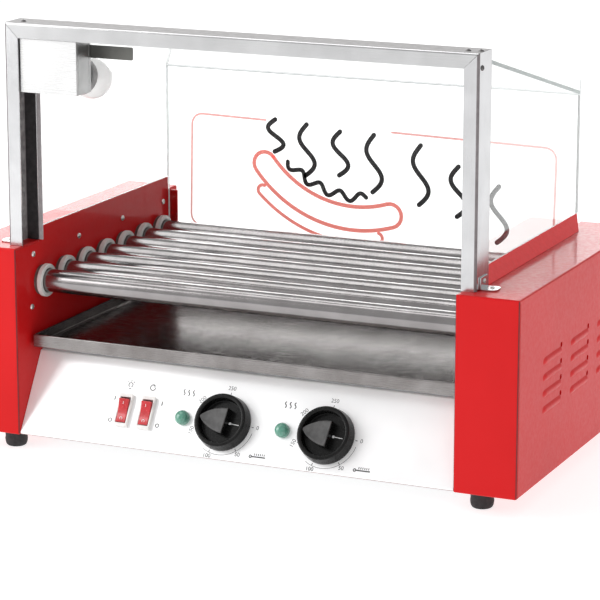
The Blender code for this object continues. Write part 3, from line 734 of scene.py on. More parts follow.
def louvre_cutters(outer):
    """The slot under each louvre and the round relief at its rear end."""
    inside = outer - 0.004
    outside = outer + 0.004
    cutters = []
    for y, z in LOUVRES:
        cutters.append(box((inside, y - 0.0205, z - 0.001), (outside, y + 0.0215, z + 0.002)))
        cutters.append(moved(rod(0.0026, inside, outside, 24, "X"), (0, y + 0.0275, z + 0.0052)))
    return cutters


def build_casing(name, side):
    """A folded box with fine seams in its outer side. The right one is cut for its louvres."""
    low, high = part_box(f"{name}_casing")
    bead = glazing_bead(side, low, high)
    high.z = casing_top()
    inner, outer = reach_of(low, high)
    inside_y = (low.y + SHEET, high.y - SHEET)
    inside_z = (low.z + SHEET, high.z - SHEET)
    open_y = (inside_y[0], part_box(f"{name}_bearing_plate")[1].y + 0.001)
    lip_y = (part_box(f"hood_{name}_post")[1].y - GAP, LIP_BACK + 0.001)
    lip_z = (high.z - 0.003, high.z + 0.002)
    shape = rounded_box(low, high, 0.0018)
    shape = combined(shape, side_box(side, inner + SHEET, outer - SHEET, inside_y, inside_z))
    shape = combined(shape, side_box(side, inner - 0.01, inner + 0.003, open_y, inside_z))
    shape = combined(shape, side_box(side, inner - 0.01, inner + 0.0023, lip_y, lip_z))
    seam_z = (low.z + 0.001, high.z - 0.003)
    cutters = []
    for y in (low.y + 0.0026, high.y - 0.0075):
        cutters.append(side_box(side, outer - 0.0011, outer + 0.001, (y - 0.0005, y + 0.0005), seam_z))
    if side > 0:
        cutters += louvre_cutters(outer)
    shape = combined(shape, gathered(cutters))
    shape = combined(shape, bead, "UNION")

    def on_front_corner(normal, centre):
        return abs(normal.x) > 0.2 and normal.y < -0.2 and abs(normal.z) < 0.2 and centre.y < low.y + 0.002

    # Painted shade: the rounded front corners get a darker red.
    paint(shape, 2, on_front_corner)
    # Painted light: the bead's faces above the casing top get a brighter red than the paint, for the light
    # they catch.
    paint(shape, 1, lambda normal, centre: centre.z > high.z + 0.0005)
    looks = ("red_paint", "lit_bead_red", "front_fold_shade_red")
    add_piece(f"{name}_casing_shell", shape, looks, f"{name}_casing")


def louvre_hood(along=28, across=12):
    """A pressed hood along Y, standing up along X. Its front end is round and its rear end is open."""
    skins = ((0.0, range(across + 1)), (-0.0008, range(across, -1, -1)))
    sections = []
    for i in range(along + 1):
        u = i / along
        front = math.sin(min(u * LOUVRE_LENGTH / LOUVRE_NOSE, 1.0) * math.pi / 2)
        ring = []
        for lift, steps in skins:
            for v in [step / across for step in steps]:
                x = max(LOUVRE_RISE * front ** 1.2 * math.sin(math.pi * v) ** 1.25 + lift, -0.0009)
                ring.append((x - EMBED, (u - 0.5) * LOUVRE_LENGTH, (v - 0.5) * LOUVRE_HEIGHT))
        sections.append(ring)
    return loft(sections)


def build_louvres():
    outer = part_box("right_casing")[1].x
    places = [Matrix.Translation((outer, y + 0.0005, z)) for y, z in LOUVRES]
    hoods = copies(louvre_hood(), places)
    add_piece("right_casing_louvres", hoods, "red_paint", sharp=60)


def build_bearing_plate(name, side):
    """The plate that carries the rollers, with its lip and its rear flange."""
    low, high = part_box(f"{name}_bearing_plate")
    tip, outer = reach_of(low, high)
    line = [(side * outer, low.y), (side * outer, high.y), (side * tip, high.y)]
    shape = prism(folded(line[::side], PLATE, 0.001), low.z, high.z, along_z)
    above = (casing_top() - SHEET - GAP, high.z + 0.01)
    for y_range in ((-1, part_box(f"hood_{name}_post")[1].y + 0.0005), (LIP_BACK, 1)):
        shape = combined(shape, side_box(side, tip - 0.01, outer + 0.01, y_range, above))
    holes = []
    for centre in map(middle, ROLLERS):
        hole = rod(PLATE_HOLE, -0.01, 0.01, 48, "X")
        holes.append(moved(hole, (side * (outer - 0.001), centre.y, centre.z)))
    shape = combined(shape, gathered(holes))
    add_piece(f"{name}_side_plate", shape, "red_paint", f"{name}_bearing_plate", bevel=0.0003)


def screw_head(radius):
    """A pan head with a cross recess, standing on its own XY plane."""
    height = 0.6 * radius
    profile = [(-EMBED, radius), (0.0, radius), (0.35 * height, 0.96 * radius), (0.7 * height, 0.80 * radius)]
    profile += [(0.92 * height, 0.55 * radius), (height, 0.25 * radius)]
    shape = turned(profile, 24)
    arm = 0.52 * radius
    width = 0.13 * radius
    for x, y in ((arm, width), (width, arm)):
        shape = combined(shape, box((-x, -y, 0.40 * height), (x, y, 2 * height)))
    return shape


def add_screws(name, radius, places, look="screw_steel"):
    add_piece(name, copies(screw_head(radius), places), look)


def build_plate_screws():
    """Screws through the bearing plates, above the rollers and at the front below them."""
    for name, side in SIDES:
        face = side * (reach_of(*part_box(f"{name}_bearing_plate"))[1] - PLATE)
        places = [facing((face, y, z), (-side, 0, 0)) for y, z in PLATE_SCREWS]
        add_screws(f"{name}_plate_screws", 0.0030, places)


def build_feet():
    for node in ("foot_front_left", "foot_front_right", "foot_rear_left", "foot_rear_right"):
        low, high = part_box(node)
        centre = (low + high) / 2
        radius = (high.x - low.x) / 2
        height = high.z - low.z
        profile = [(0.0, 0.0045), (0.0022, 0.0045), (0.0022, 0.0052), (0.0, 0.0058), (0.0, 0.0080)]
        profile += [(0.0003, 0.0088), (0.0010, 0.0097), (0.0022, 0.0104), (0.0040, 0.0109), (0.0070, 0.0113)]
        profile += [(0.55 * height, radius - 0.0008), (height - 0.0016, radius)]
        profile += [(height - 0.0005, radius - 0.0002), (height, radius - 0.0008)]
        shape = moved(turned(profile, 56), (centre.x, centre.y, low.z))
        add_piece(f"{node}_pad", shape, "black_rubber", node)


# Chassis, panel, shelf and tray ----------------------------------------


def build_chassis():
    low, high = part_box("chassis_pan")
    gland = middle("cable_gland")
    line = [(low.y, low.z), (high.y, low.z), (high.y, high.z), (high.y - 0.0077, high.z)]
    shape = prism(folded(line), low.x, high.x, along_x)
    shape = combined(shape, moved(rod(0.0084, -0.01, 0.01, 40, "Y"), (gland.x, high.y, gland.z)))
    add_piece("chassis_floor_and_rear_wall", shape, "zinc_steel", "chassis_pan", bevel=0.0002)
    places = [facing((x, high.y, z), (0, 1, 0)) for x in (-0.212, 0.0, 0.212) for z in (0.034, 0.138)]
    add_screws("rear_wall_screws", 0.0032, places)
    low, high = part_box("tray_shelf")
    line = [(high.y, high.z), (low.y, high.z), (low.y, low.z)]
    shape = prism(folded(line), low.x, high.x, along_x)
    add_piece("tray_shelf_sheet", shape, "zinc_steel", "tray_shelf", bevel=0.0002)


def panel_frame():
    """The leaning panel's own frame: X along it, Y up its slope and Z out of its face."""
    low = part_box("control_panel")[0]
    turn = Matrix.Rotation(math.pi / 2 - PANEL_LEAN, 4, "X")
    return Matrix.Translation((0, low.y, low.z)) @ turn


def on_panel(panel, joint):
    """A joint's place in the panel's own frame."""
    return panel.inverted() @ Vector(JOINTS[joint]["pos_m"])


def control_row(panel):
    """Height up the panel's slope of the line on which all its controls stand."""
    return on_panel(panel, "front_knob_turn").y


def build_panel(panel):
    low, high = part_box("control_panel")
    row = control_row(panel)
    top_y = low.y + (high.z - low.z) * math.tan(PANEL_LEAN)
    line = [(high.y, high.z), (top_y, high.z), (low.y, low.z), (low.y + 0.017, low.z)]
    shape = prism(folded(line, bend=0.0008), low.x, high.x, along_x)
    cutters = []
    for use in ("front", "rear"):
        cutters.append(moved(rod(0.0045, -0.006, 0.006, 32), (middle(f"{use}_heat_knob").x, row, 0)))
        cutters.append(moved(rod(LENS_HOLE, -0.006, 0.006, 40), (middle(f"{use}_heat_lamp").x, row, 0)))
    for use in ("light", "turn"):
        x = middle(f"{use}_switch_housing").x
        cutters.append(box((x - 0.0066, row - 0.0144, -0.006), (x + 0.0066, row + 0.0144, 0.006)))
    shape = combined(shape, moved(gathered(cutters), panel))
    # Painted shade: the hem's downward faces get a dull reddish grey in place of the bright steel.
    paint(shape, 1, lambda normal, centre: normal.z < -0.62 and centre.y < low.y + 0.004)
    add_piece("front_panel", shape, ("panel_steel", "panel_hem_shade"), "control_panel")


def hem_roll(start, end, axis, hem):
    """A rolled edge that thins out at both ends."""
    profile = [(start + 0.002, 0.2 * hem), (start + 0.0024, 0.5 * hem)]
    profile += [(end - 0.0024, 0.5 * hem), (end - 0.002, 0.2 * hem)]
    return turned(profile, 16, axis)


def build_tray():
    """A pressed pan with soft inner corners and a hemmed rim."""
    low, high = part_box("drip_tray")
    wall = 0.0012
    inner_low = (low.x + wall, low.y + wall, low.z + wall)
    inner_high = (high.x - wall, high.y - wall, high.z + 0.02)
    shape = combined(rounded_box(low, high, 0.0011, 3), rounded_box(inner_low, inner_high, 0.0030, 5))
    paint(shape, 1, lambda normal, centre: normal.y < -0.5 and centre.y < low.y + wall * 0.9)
    add_piece("tray_pan", shape, ("tray_steel", "tray_lip"), "drip_tray", "tray")
    hem = 0.0016
    z = high.z - 0.5 * hem + 0.0002
    rolls = [moved(hem_roll(low.x, high.x, "X", hem), (0, y, z)) for y in (low.y + 0.0010, high.y - 0.0010)]
    rolls += [moved(hem_roll(low.y, high.y, "Y", hem), (x, 0, z)) for x in (low.x + 0.0010, high.x - 0.0010)]
    add_piece("tray_rim_hem", gathered(rolls), "tray_lip", body="tray")


def build_gland():
    """Cable gland: a hexagon seat and a ribbed dome nut."""
    low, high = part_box("cable_gland")
    centre = (low + high) / 2
    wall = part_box("chassis_pan")[1].y + GAP
    bore = GLAND_BORE
    seat = prism(circle((0, 0), 0.0119, 30, 360, 6)[:6], wall, wall + 0.0045, along_y)
    seat = combined(seat, rod(bore, wall - 0.01, wall + 0.01, 40, "Y"))
    dome = [(low.y, bore), (low.y, 0.0078), (wall + 0.001, 0.0078), (wall + 0.001, 0.0100)]
    dome += [(wall + 0.0060, 0.0102), (wall + 0.0066, 0.0096), (high.y - 0.0052, 0.0094)]
    dome += [(high.y - 0.0022, 0.0084), (high.y - 0.0004, 0.0066), (high.y, 0.0056), (high.y, bore)]
    cap = turned(dome, 48, "Y", hollow=True)
    rib = box((0.0093, wall + 0.0066, -0.0005), (0.0101, high.y - 0.0052, 0.0005))
    ribs = copies(rib, [Matrix.Rotation(2 * math.pi * i / 12, 4, "Y") for i in range(12)])
    shape = moved(gathered([seat, cap, ribs]), (centre.x, 0, centre.z))
    add_piece("cable_gland_nut", shape, "black_rubber", "cable_gland", bevel=0.0002)


# Rollers and collars ----------------------------------------


def build_rollers():
    for i, node in enumerate(ROLLERS):
        low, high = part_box(node)
        centre = (low + high) / 2
        radius = (high.z - low.z) / 2
        bore = radius - 0.0015
        chamfer = 0.0004
        profile = [(low.x, bore), (low.x, radius - chamfer), (low.x + chamfer, radius)]
        profile += [(high.x - chamfer, radius), (high.x, radius - chamfer), (high.x, bore)]
        shape = moved(turned(profile, 96, "X", hollow=True), (0, centre.y, centre.z))
        add_piece(f"roller_tube_{i + 1}", shape, "roller_steel", node, f"roller_set_{i + 1}")


def collar(face, seat, end):
    """A flanged collar along +X: a flange with a shallow ring in its face, a hub and a sleeve. The hub is
    painted dark brown as painted shade for the gap behind the flange.
    """
    back = face + COLLAR_FLANGE
    rim = COLLAR_RADIUS
    profile = [(face + 0.0006, COLLAR_BORE), (face, COLLAR_BORE + 0.0006), (face, 0.0136)]
    profile += [(face + 0.0003, 0.0140), (face + 0.0003, 0.0147), (face, 0.0151)]
    profile += [(face + 0.0003, rim - 0.0004), (face + 0.0011, rim)]
    profile += [(back - 0.0006, rim), (back, rim - 0.0006), (back, HUB_RADIUS), (seat, HUB_RADIUS)]
    profile += [(seat, SLEEVE_RADIUS), (end, SLEEVE_RADIUS), (end, COLLAR_BORE)]
    shape = turned(profile, 64, "X", hollow=True)

    def on_hub(normal, centre):
        return back + 0.0002 < centre.x < seat - 0.0002 and centre.yz.length > HUB_RADIUS - 0.0005

    # Painted shade: the hub between the flange and the plate gets a dark brown look.
    paint(shape, 1, on_hub)
    return shape


def build_collars():
    looks = ("white_collar", "painted_hub_shade")
    low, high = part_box("left_bush_1")
    seat = abs(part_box("left_bearing_plate")[0].x) - PLATE - GAP
    for i in range(len(ROLLERS)):
        node = f"left_bush_{i + 1}"
        centre = middle(node)
        place = Matrix.Translation((0, centre.y, centre.z)) @ Matrix.Rotation(math.pi, 4, "Z")
        shape = moved(collar(abs(high.x), seat, abs(low.x)), place)
        add_piece(f"left_collar_{i + 1}", shape, looks, node)
    low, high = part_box("right_bush_strip")
    shapes = []
    bores = []
    for centre in map(middle, ROLLERS):
        shapes.append(moved(collar(low.x, seat, high.x), (0, centre.y, centre.z)))
        bores.append(moved(rod(0.0130, 0, 1, 40, "X"), (0, centre.y, centre.z)))
    back = seat + PLATE + 2 * GAP
    height = middle(ROLLERS[0]).z
    outline = rounded(rectangle(low.y, height - 0.010, high.y, height + 0.010), 0.009)
    strip = combined(prism(outline, back, back + 0.002, along_x), gathered(bores))
    add_piece("right_collars", gathered(shapes + [strip]), looks, "right_bush_strip")


def keep_nodes():
    """Inner CAD pieces whose shape is right: only their material changes."""
    kept = {
        "zinc_steel": ["drive_chain", "motor_sprocket"] + [f"sprocket_{i + 1}" for i in range(len(ROLLERS))],
        "screw_steel": ["front_heaters", "rear_heaters"],
        "motor_metal": ["gear_motor"],
        "thermostat_body": ["front_thermostat", "rear_thermostat"],
    }
    for look, nodes in kept.items():
        for node in nodes:
            mesh = frame["nodes"][node].data
            mesh.materials.clear()
            mesh.materials.append(LOOKS[look])


# Controls ----------------------------------------


def grip_sections():
    """Rings along the grip: a leaf with a dished top that climbs from its tip to a straight ridge."""
    across = (-1.0, -0.985, -0.94, -0.86, -0.6, -0.3, 0.0, 0.3, 0.6, 0.86, 0.94, 0.985, 1.0)
    drops = (0.0014, 0.0007, 0.0002, 0.0, 0.0003, 0.0004, 0.0005, 0.0004, 0.0003, 0.0, 0.0002, 0.0007, 0.0014)
    sections = []
    for step in range(21):
        share = step / 20
        x = GRIP_TIP + (GRIP_END - 0.0006 - GRIP_TIP) * share
        half = max(GRIP_HALF * math.sin(math.pi / 2 * share) ** 0.68, 0.0008)
        top = GRIP_LOW + (GRIP_TOP - GRIP_LOW) * share ** 1.2
        dish = min(half / GRIP_HALF * 1.4, 1.0)
        ring = [(x, half * end, KNOB_FLOOR - 0.001) for end in (1, -1)]
        ring += [(x, half * side, top - drop * dish) for side, drop in zip(across, drops)]
        sections.append(ring)
    sections.append([(GRIP_END, y, z if z < KNOB_FLOOR else z - 0.0006) for x, y, z in sections[-1]])
    return sections


def knob_cup(radius):
    """Profile of the cup: its skirt, its round rim and its well."""
    cup = [(0.0006, radius - 0.0006), (0.0010, radius - 0.0001), (0.0030, radius - 0.0001)]
    cup += [(KNOB_RIM - 0.0012, KNOB_RIM_RADIUS), (KNOB_RIM - 0.0004, KNOB_RIM_RADIUS - 0.0004)]
    cup += [(KNOB_RIM, KNOB_RIM_RADIUS - 0.0012), (KNOB_RIM, KNOB_WELL + 0.0012)]
    cup += [(KNOB_RIM - 0.0004, KNOB_WELL + 0.0004), (KNOB_RIM - 0.0012, KNOB_WELL)]
    cup += [(KNOB_FLOOR + 0.0010, KNOB_WELL - 0.0002), (KNOB_FLOOR + 0.0003, KNOB_WELL - 0.0006)]
    return cup + [(KNOB_FLOOR, KNOB_WELL - 0.0014)]


def on_lit_grip(normal, centre):
    return centre.z > 0.0085 and centre.xy.length < KNOB_WELL - 0.0002 and normal.z > 0.4


def build_knobs(panel):
    for use in ("front", "rear"):
        node = f"{use}_heat_knob"
        body = f"{use}_knob"
        spot = Matrix.Translation(on_panel(panel, f"{use}_knob_turn"))
        place = panel @ spot @ Matrix.Rotation(KNOB_TURN, 4, "Z")
        radius = (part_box(node)[1].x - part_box(node)[0].x) / 2
        shape = combined(turned(knob_cup(radius), 96), loft(grip_sections()), "UNION")
        shape = combined(shape, rod(0.0034, -0.002, 0.0133, 24))
        # Painted light: the grip's upward faces get a lighter grey than the black knob.
        paint(shape, 1, on_lit_grip)
        looks = ("knob_black", "lit_grip_grey")
        add_piece(f"{use}_knob_cap", moved(shape, place), looks, node, body, sharp=40)
        dot = turned([(-EMBED, 0.0013), (INK * 2, 0.0013), (INK * 3, 0.0009)], 24)
        dot = moved(dot, (GRIP_END + 0.0018, 0, KNOB_FLOOR))
        line = moved(ribbon([(GRIP_END + 0.0016, 0), (0.0172, 0)], 0.0008), (0, 0, KNOB_FLOOR - INK / 2))
        pointer = moved(gathered([dot, line]), place)
        add_piece(f"{use}_knob_pointer", pointer, "ink_white", body=body)


def build_indicators(panel):
    row = control_row(panel)
    profile = [(-0.0140, 0.0055), (-0.0010, 0.0059), (GAP, 0.0059)]
    profile += [(GAP, LENS_RADIUS), (0.0040, LENS_RADIUS), (0.0045, LENS_RADIUS - 0.0003)]
    for step in range(10):
        angle = math.radians(9.4 * step)
        profile.append((0.0045 + 0.0050 * math.sin(angle), 0.0067 * math.cos(angle)))
    for use in ("front", "rear"):
        node = f"{use}_heat_lamp"
        lens = moved(turned(profile, 64), panel @ Matrix.Translation((middle(node).x, row, 0)))
        add_piece(f"{use}_indicator_lens", lens, "green_lens", node)


def rocker_top(y):
    """Dished top of a rocker: highest at both ends."""
    return 0.0061 + 0.0017 * (abs(y) / 0.0116) ** 1.7


def build_switch(use, panel):
    """A white bezel and its body, the rocker in it and the marks on the rocker."""
    node = f"{use}_switch_housing"
    place = panel @ Matrix.Translation((middle(node).x, control_row(panel), 0))
    wide, tall = BEZEL_HALF
    shape = prism(rounded(rectangle(-wide, -tall, wide, tall), 0.0012), GAP, BEZEL, along_z)
    shape = combined(shape, box((-0.0062, -0.0140, -0.018), (0.0062, 0.0140, 0.0012)), "UNION")
    shape = combined(shape, box((-0.0055, -0.0130, -0.0085), (0.0055, 0.0130, 2 * BEZEL)))
    add_piece(f"{use}_switch_bezel", moved(shape, place), "switch_white", node, bevel=0.0004)
    body = f"{use}_switch_rocker"
    pivot = panel @ Matrix.Translation(on_panel(panel, f"{use}_rocker_tip"))
    tip = pivot @ Matrix.Rotation(ROCKER_TILT, 4, "X")
    outline = [(-0.0119, 0.0020), (-0.0100, -0.0035), (0.0100, -0.0035), (0.0119, 0.0020)]
    outline += [(0.0116 * (1 - i / 10), rocker_top(0.0116 * (1 - i / 10))) for i in range(21)]
    rocker = moved(prism(outline, -0.0051, 0.0051, along_x), tip)
    add_piece(f"{use}_rocker_key", rocker, "rocker_red", f"{use}_rocker", body, bevel=0.0005)
    ring = ribbon(circle((0, -0.0078), 0.0013, 0, 360, 24), 0.0004, 0.0005)
    bar = ribbon([(0, 0.0064), (0, 0.0092)], 0.0005, 0.0005)
    marks = moved(gathered([ring, bar]), tip @ Matrix.Translation((0, 0, rocker_top(0.0078) - 0.0003)))
    add_piece(f"{use}_rocker_marks", marks, "ink_white", body=body)


def dial_print(centre):
    """Ticks and numbers round a knob, with the arc from one end of its travel to the other."""
    shapes = []
    spins = (0, 0, 0, 72, 46, 0)
    for i, spin in enumerate(spins):
        angle = math.radians(-1 - 53.8 * i)
        run = Vector((math.cos(angle), math.sin(angle)))
        shapes.append(ribbon([centre + run * 0.0290, centre + run * 0.0306], 0.0007))
        label = moved(numeral(str(50 * i), 0.0056), Matrix.Rotation(math.radians(spin), 4, "Z"))
        shapes.append(moved(label, (*(centre + run * 0.0350), 0)))
    shapes.append(ribbon(circle(centre, 0.0312, -12, -110, 32), 0.0004))
    return shapes


def build_print(panel):
    """Dials and plain pictograms, printed on the panel."""
    shapes = []
    for use in ("front", "rear"):
        centre = on_panel(panel, f"{use}_knob_turn").xy
        shapes += dial_print(centre)
        shapes += [heat_wave(centre.x - 0.049 + 0.0050 * i, centre.y + 0.0230) for i in range(3)]
        shapes += thermometer(centre.x + 0.034, centre.y - 0.0285)
    row = control_row(panel)
    left = middle("light_switch_housing").x
    right = middle("turn_switch_housing").x
    shapes += bulb_sign((left, row + 0.0265))
    shapes += turn_sign((right, row + 0.0265))
    for x in (left - 0.0135, right + 0.0135):
        shapes.append(ribbon([(x, row + 0.0100), (x, row + 0.0135)], 0.0011))
        shapes.append(ribbon(circle((x, row - 0.0105), 0.0017), 0.0009))
    surface = panel @ Matrix.Translation((0, 0, INK / 2))
    add_piece("panel_print", moved(gathered(shapes), surface), "ink_grey")


def heat_wave(x, y):
    points = [(x + 0.0008 * math.sin(2 * math.pi * i / 12), y + 0.0055 * i / 12) for i in range(13)]
    return ribbon(points, 0.0010)


def thermometer(x, y):
    """A lying thermometer: a bulb with a scale of dashes beside it."""
    parts = [ribbon(circle((x, y), 0.0012, 0, 360, 20), 0.0010)]
    parts.append(ribbon([(x + 0.0020, y), (x + 0.0150, y)], 0.0013))
    for i in range(6):
        dash = x + 0.0040 + 0.0020 * i
        parts.append(ribbon([(dash, y + 0.0016), (dash, y + 0.0030)], 0.0008))
    return parts


def bulb_sign(place):
    x, y = place
    parts = [ribbon(circle((x, y), 0.0022, -60, 300, 28), 0.0009)]
    parts.append(ribbon([(x - 0.0010, y - 0.0036), (x + 0.0010, y - 0.0036)], 0.0009))
    for i in range(3):
        angle = math.radians(45 + 45 * i)
        run = Vector((math.cos(angle), math.sin(angle)))
        parts.append(ribbon([Vector(place) + run * 0.0036, Vector(place) + run * 0.0050], 0.0008))
    return parts


def turn_sign(place):
    x, y = place
    parts = [ribbon(circle(place, 0.0028, 60, 290, 28), 0.0010)]
    head = Vector((x + 0.0028 * math.cos(math.radians(60)), y + 0.0028 * math.sin(math.radians(60))))
    parts.append(ribbon([head, head + Vector((0.0004, -0.0020))], 0.0009))
    parts.append(ribbon([head, head + Vector((-0.0021, 0.0002))], 0.0009))
    return parts


# Hood ----------------------------------------


def channel_outline(low, high, leg):
    """Section of the hood frame as (y, distance in from its outer face), open inwards."""
    return folded([(low.y, leg), (low.y, 0), (high.y, 0), (high.y, leg)], SHEET, 0.0007)


def shade_channel(shape, low, high, leg_of):
    """Paints shade on the channel: near black inside its flanges, grey inside its web and dark grey on its
    bends.
    """
    bmesh.ops.recalc_face_normals(shape, faces=shape.faces)
    skin = SHEET * 0.9

    def inside(normal, centre):
        return leg_of(centre) > skin and low.y + skin < centre.y < high.y - skin

    paint(shape, 1, inside)
    paint(shape, 2, lambda normal, centre: inside(normal, centre) and abs(normal.x) > 0.9)
    paint(shape, 3, lambda normal, centre: abs(normal.x) > 0.15 and abs(normal.y) > 0.15)
    return shape


def build_hood_frame():
    shade_looks = ("channel_inside_shade", "channel_web_shade", "bend_shade_grey")
    for name, side in SIDES:
        node = f"hood_{name}_post"
        low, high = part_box(node)
        outer = reach_of(low, high)[1]
        outline = channel_outline(low, high, FRAME_LEG)
        feet = [(side * (outer - inset), y, low.z) for y, inset in outline]
        tops = [(side * (outer - inset), y, high.z - inset) for y, inset in outline]
        shape = shade_channel(loft([feet, tops]), low, high, lambda point: outer - abs(point.x))
        add_piece(f"{name}_post_channel", shape, ("post_steel", *shade_looks), node)
    low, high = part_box("hood_top_rail")
    outline = channel_outline(low, high, FRAME_LEG)
    ends = [[(side * (high.x - inset), y, high.z - inset) for y, inset in outline] for side in (-1, 1)]
    shape = shade_channel(loft(ends), low, high, lambda point: high.z - point.z)
    # Painted shade: the rail's top face gets a dull grey in place of its bright steel.
    paint(shape, 4, lambda normal, centre: abs(normal.z) > 0.9 and centre.z > high.z - 0.0003)
    looks = ("rail_steel", *shade_looks, "rail_top_shade")
    add_piece("top_rail_channel", shape, looks, "hood_top_rail")


def build_hood_fixings():
    """Foot brackets, corner screws and the glazing strips along the posts."""
    top = casing_top()
    low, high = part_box("hood_right_post")
    outer = high.x
    middle_y = low.y + 0.018
    y_range = (middle_y - 0.009, middle_y + 0.009)
    tab = filleted(rectangle(outer + 0.0002, y_range[0], outer + 0.0160, y_range[1]), 0.006)
    feet = []
    screws = []
    strips = []
    for side in (-1, 1):
        feet.append(prism([(side * x, y) for x, y in tab], top + 0.0001, top + 0.0015, along_z))
        feet.append(side_box(side, outer + 0.0001, outer + 0.0015, y_range, (top + 0.0002, top + 0.0120)))
        screws.append(facing((side * (outer + 0.0095), middle_y, top + 0.0015), (0, 0, 1)))
        screws.append(facing((side * (outer + 0.0015), middle_y, top + 0.0075), (side, 0, 0)))
        strip_y = (high.y - 0.0012, high.y)
        strips.append(side_box(side, outer - 0.0192, outer - 0.0150, strip_y, (top + 0.0005, 0.400)))
    add_piece("post_foot_brackets", gathered(feet), "post_steel", bevel=0.0003)
    add_screws("bracket_screws", 0.0022, screws)
    rail_screws = ((0.0150 - outer, 0.012), (outer - 0.0150, 0.012), (outer - 0.0035, 0.0140))
    corners = [facing((x, low.y + inset, high.z), (0, 0, 1)) for x, inset in rail_screws]
    corners.append(facing((outer, low.y + 0.008, high.z - 0.014), (1, 0, 0)))
    add_screws("corner_screws", 0.0026, corners, "dark_screw")
    add_piece("glazing_strips", gathered(strips), "strip_grey", bevel=0.0002)


def add_pane(name, outline, normal, side_edges="clear_glass"):
    """A glass pane. Its edges at its two sides have their own look, and the others are pale, with a faint
    glow that is painted light.
    """
    low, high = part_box(f"{name}_glass")
    shape = prism(outline, low.x, high.x, along_x)
    bmesh.ops.recalc_face_normals(shape, faces=shape.faces)
    bmesh.ops.bevel(shape, geom=shape.edges[:], offset=0.0005, segments=2, profile=0.5, affect="EDGES")
    bmesh.ops.recalc_face_normals(shape, faces=shape.faces)
    paint(shape, 2, lambda own, centre: abs(own.dot(normal)) < 0.99)
    paint(shape, 1, lambda own, centre: abs(own.dot(normal)) < 0.99 and abs(own.x) > 0.5)
    add_piece(f"{name}_pane", shape, ("clear_glass", side_edges, "pale_glowing_edge"), f"{name}_glass")


def build_glass():
    low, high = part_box("top_glass")
    drop = PANE_SLOPE * (high.y - low.y)
    thick = GLASS * math.hypot(1, PANE_SLOPE)
    back = high.z - drop
    outline = [(low.y, high.z - thick), (high.y, back - thick), (high.y, back), (low.y, high.z)]
    add_pane("top", outline, Vector((0, PANE_SLOPE, 1)).normalized(), "glass_edge")
    for name in ("left", "right"):
        low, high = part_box(f"{name}_glass")
        back = high.z - SIDE_PANE_SLOPE * (high.y - low.y)
        outline = [(low.y, low.z), (high.y, low.z), (high.y, back), (low.y, high.z)]
        add_pane(name, outline, Vector((1, 0, 0)))
    low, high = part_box("back_glass")
    outline = [(low.y, low.z), (high.y, low.z), (high.y, high.z - PANE_SLOPE * GLASS), (low.y, high.z)]
    add_pane("back", outline, Vector((0, 1, 0)))


def bow(angle, radius):
    """A point on the sausage's bow, by its angle in degrees about the bow's centre."""
    turn = math.radians(angle)
    return BOW_CENTRE + Vector((radius * math.cos(turn), radius * math.sin(turn)))


def bow_line(radius, start, end, steps=28):
    return [bow(start + (end - start) * i / steps, radius) for i in range(steps + 1)]


def cap(centre, start, steps, sign):
    """Half a turn about a centre, from a start point; the start and the end are left out."""
    arm = start - centre
    return [centre + Matrix.Rotation(sign * math.pi * i / steps, 2) @ arm for i in range(1, steps)]


def sausage_lines():
    """The sausage's closed outline and the open line of the bun under it."""
    inner = bow_line(BOW_RADIUS - SAUSAGE_HALF, 219, 289)
    outer = bow_line(BOW_RADIUS + SAUSAGE_HALF, 289, 219)
    sausage = inner + cap(bow(289, BOW_RADIUS), inner[-1], 10, -1)
    sausage += outer + cap(bow(219, BOW_RADIUS), outer[-1], 10, -1)
    bun = bow_line(BOW_RADIUS + SAUSAGE_HALF + 0.014, 227, 281)
    middle_radius = BOW_RADIUS + SAUSAGE_HALF + 0.0085
    left_end = cap(bow(227, middle_radius), bun[0], 8, -1)[::-1]
    right_end = cap(bow(281, middle_radius), bun[-1], 8, 1)
    return [ribbon(sausage + [sausage[0]], 0.0042, FILM), ribbon(left_end + bun + right_end, 0.0036, FILM)]


def steam(x, z, tall):
    """A wisp of steam: one slow wave that narrows as it rises."""
    points = []
    for i in range(31):
        share = i / 30
        points.append((x + 0.011 * (1 - 0.35 * share) * math.sin(2 * math.pi * share), z + tall * share))
    return points


def steam_lines():
    """A wavy line along the sausage, and wisps of steam over it."""
    crest = BOW_RADIUS - SAUSAGE_HALF - 0.010
    wave = [bow(226 + 52 * i / 60, crest + 0.0045 * math.sin(2 * math.pi * 4 * i / 60)) for i in range(61)]
    wisps = [(-0.102, 0.254, 0.034), (-0.066, 0.232, 0.054), (-0.028, 0.236, 0.046), (0.010, 0.222, 0.060)]
    wisps += [(0.062, 0.214, 0.062), (0.104, 0.206, 0.052), (0.146, 0.184, 0.058)]
    return [ribbon(wave, 0.0046, FILM)] + [ribbon(steam(*wisp), 0.0050, FILM) for wisp in wisps]


def build_decal():
    """A generic window sticker on the back pane: a thin frame, a hot dog drawn in lines and steam."""
    x, z = DECAL_CENTRE
    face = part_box("back_glass")[0].y - EMBED / 2
    surface = Matrix.Translation((x, face, z)) @ Matrix.Rotation(math.pi / 2, 4, "X")
    surface = surface @ Matrix.Rotation(math.radians(-1.1), 4, "Z") @ Matrix.Translation((-x, -z, 0))
    left, right, bottom, top = -0.1985, 0.2055, 0.166, 0.2865
    border = [(-0.113, top), (left, top), (left, bottom), (right, bottom), (right, top), (0.030, top)]
    layers = {
        "decal_frame": ("film_pale", [ribbon(filleted(border, 0.012), 0.0022, FILM)]),
        "decal_hot_dog": ("film_red", sausage_lines()),
        "decal_steam": ("film_black", steam_lines()),
    }
    for name, (look, shapes) in layers.items():
        add_piece(name, moved(gathered(shapes), surface), look)


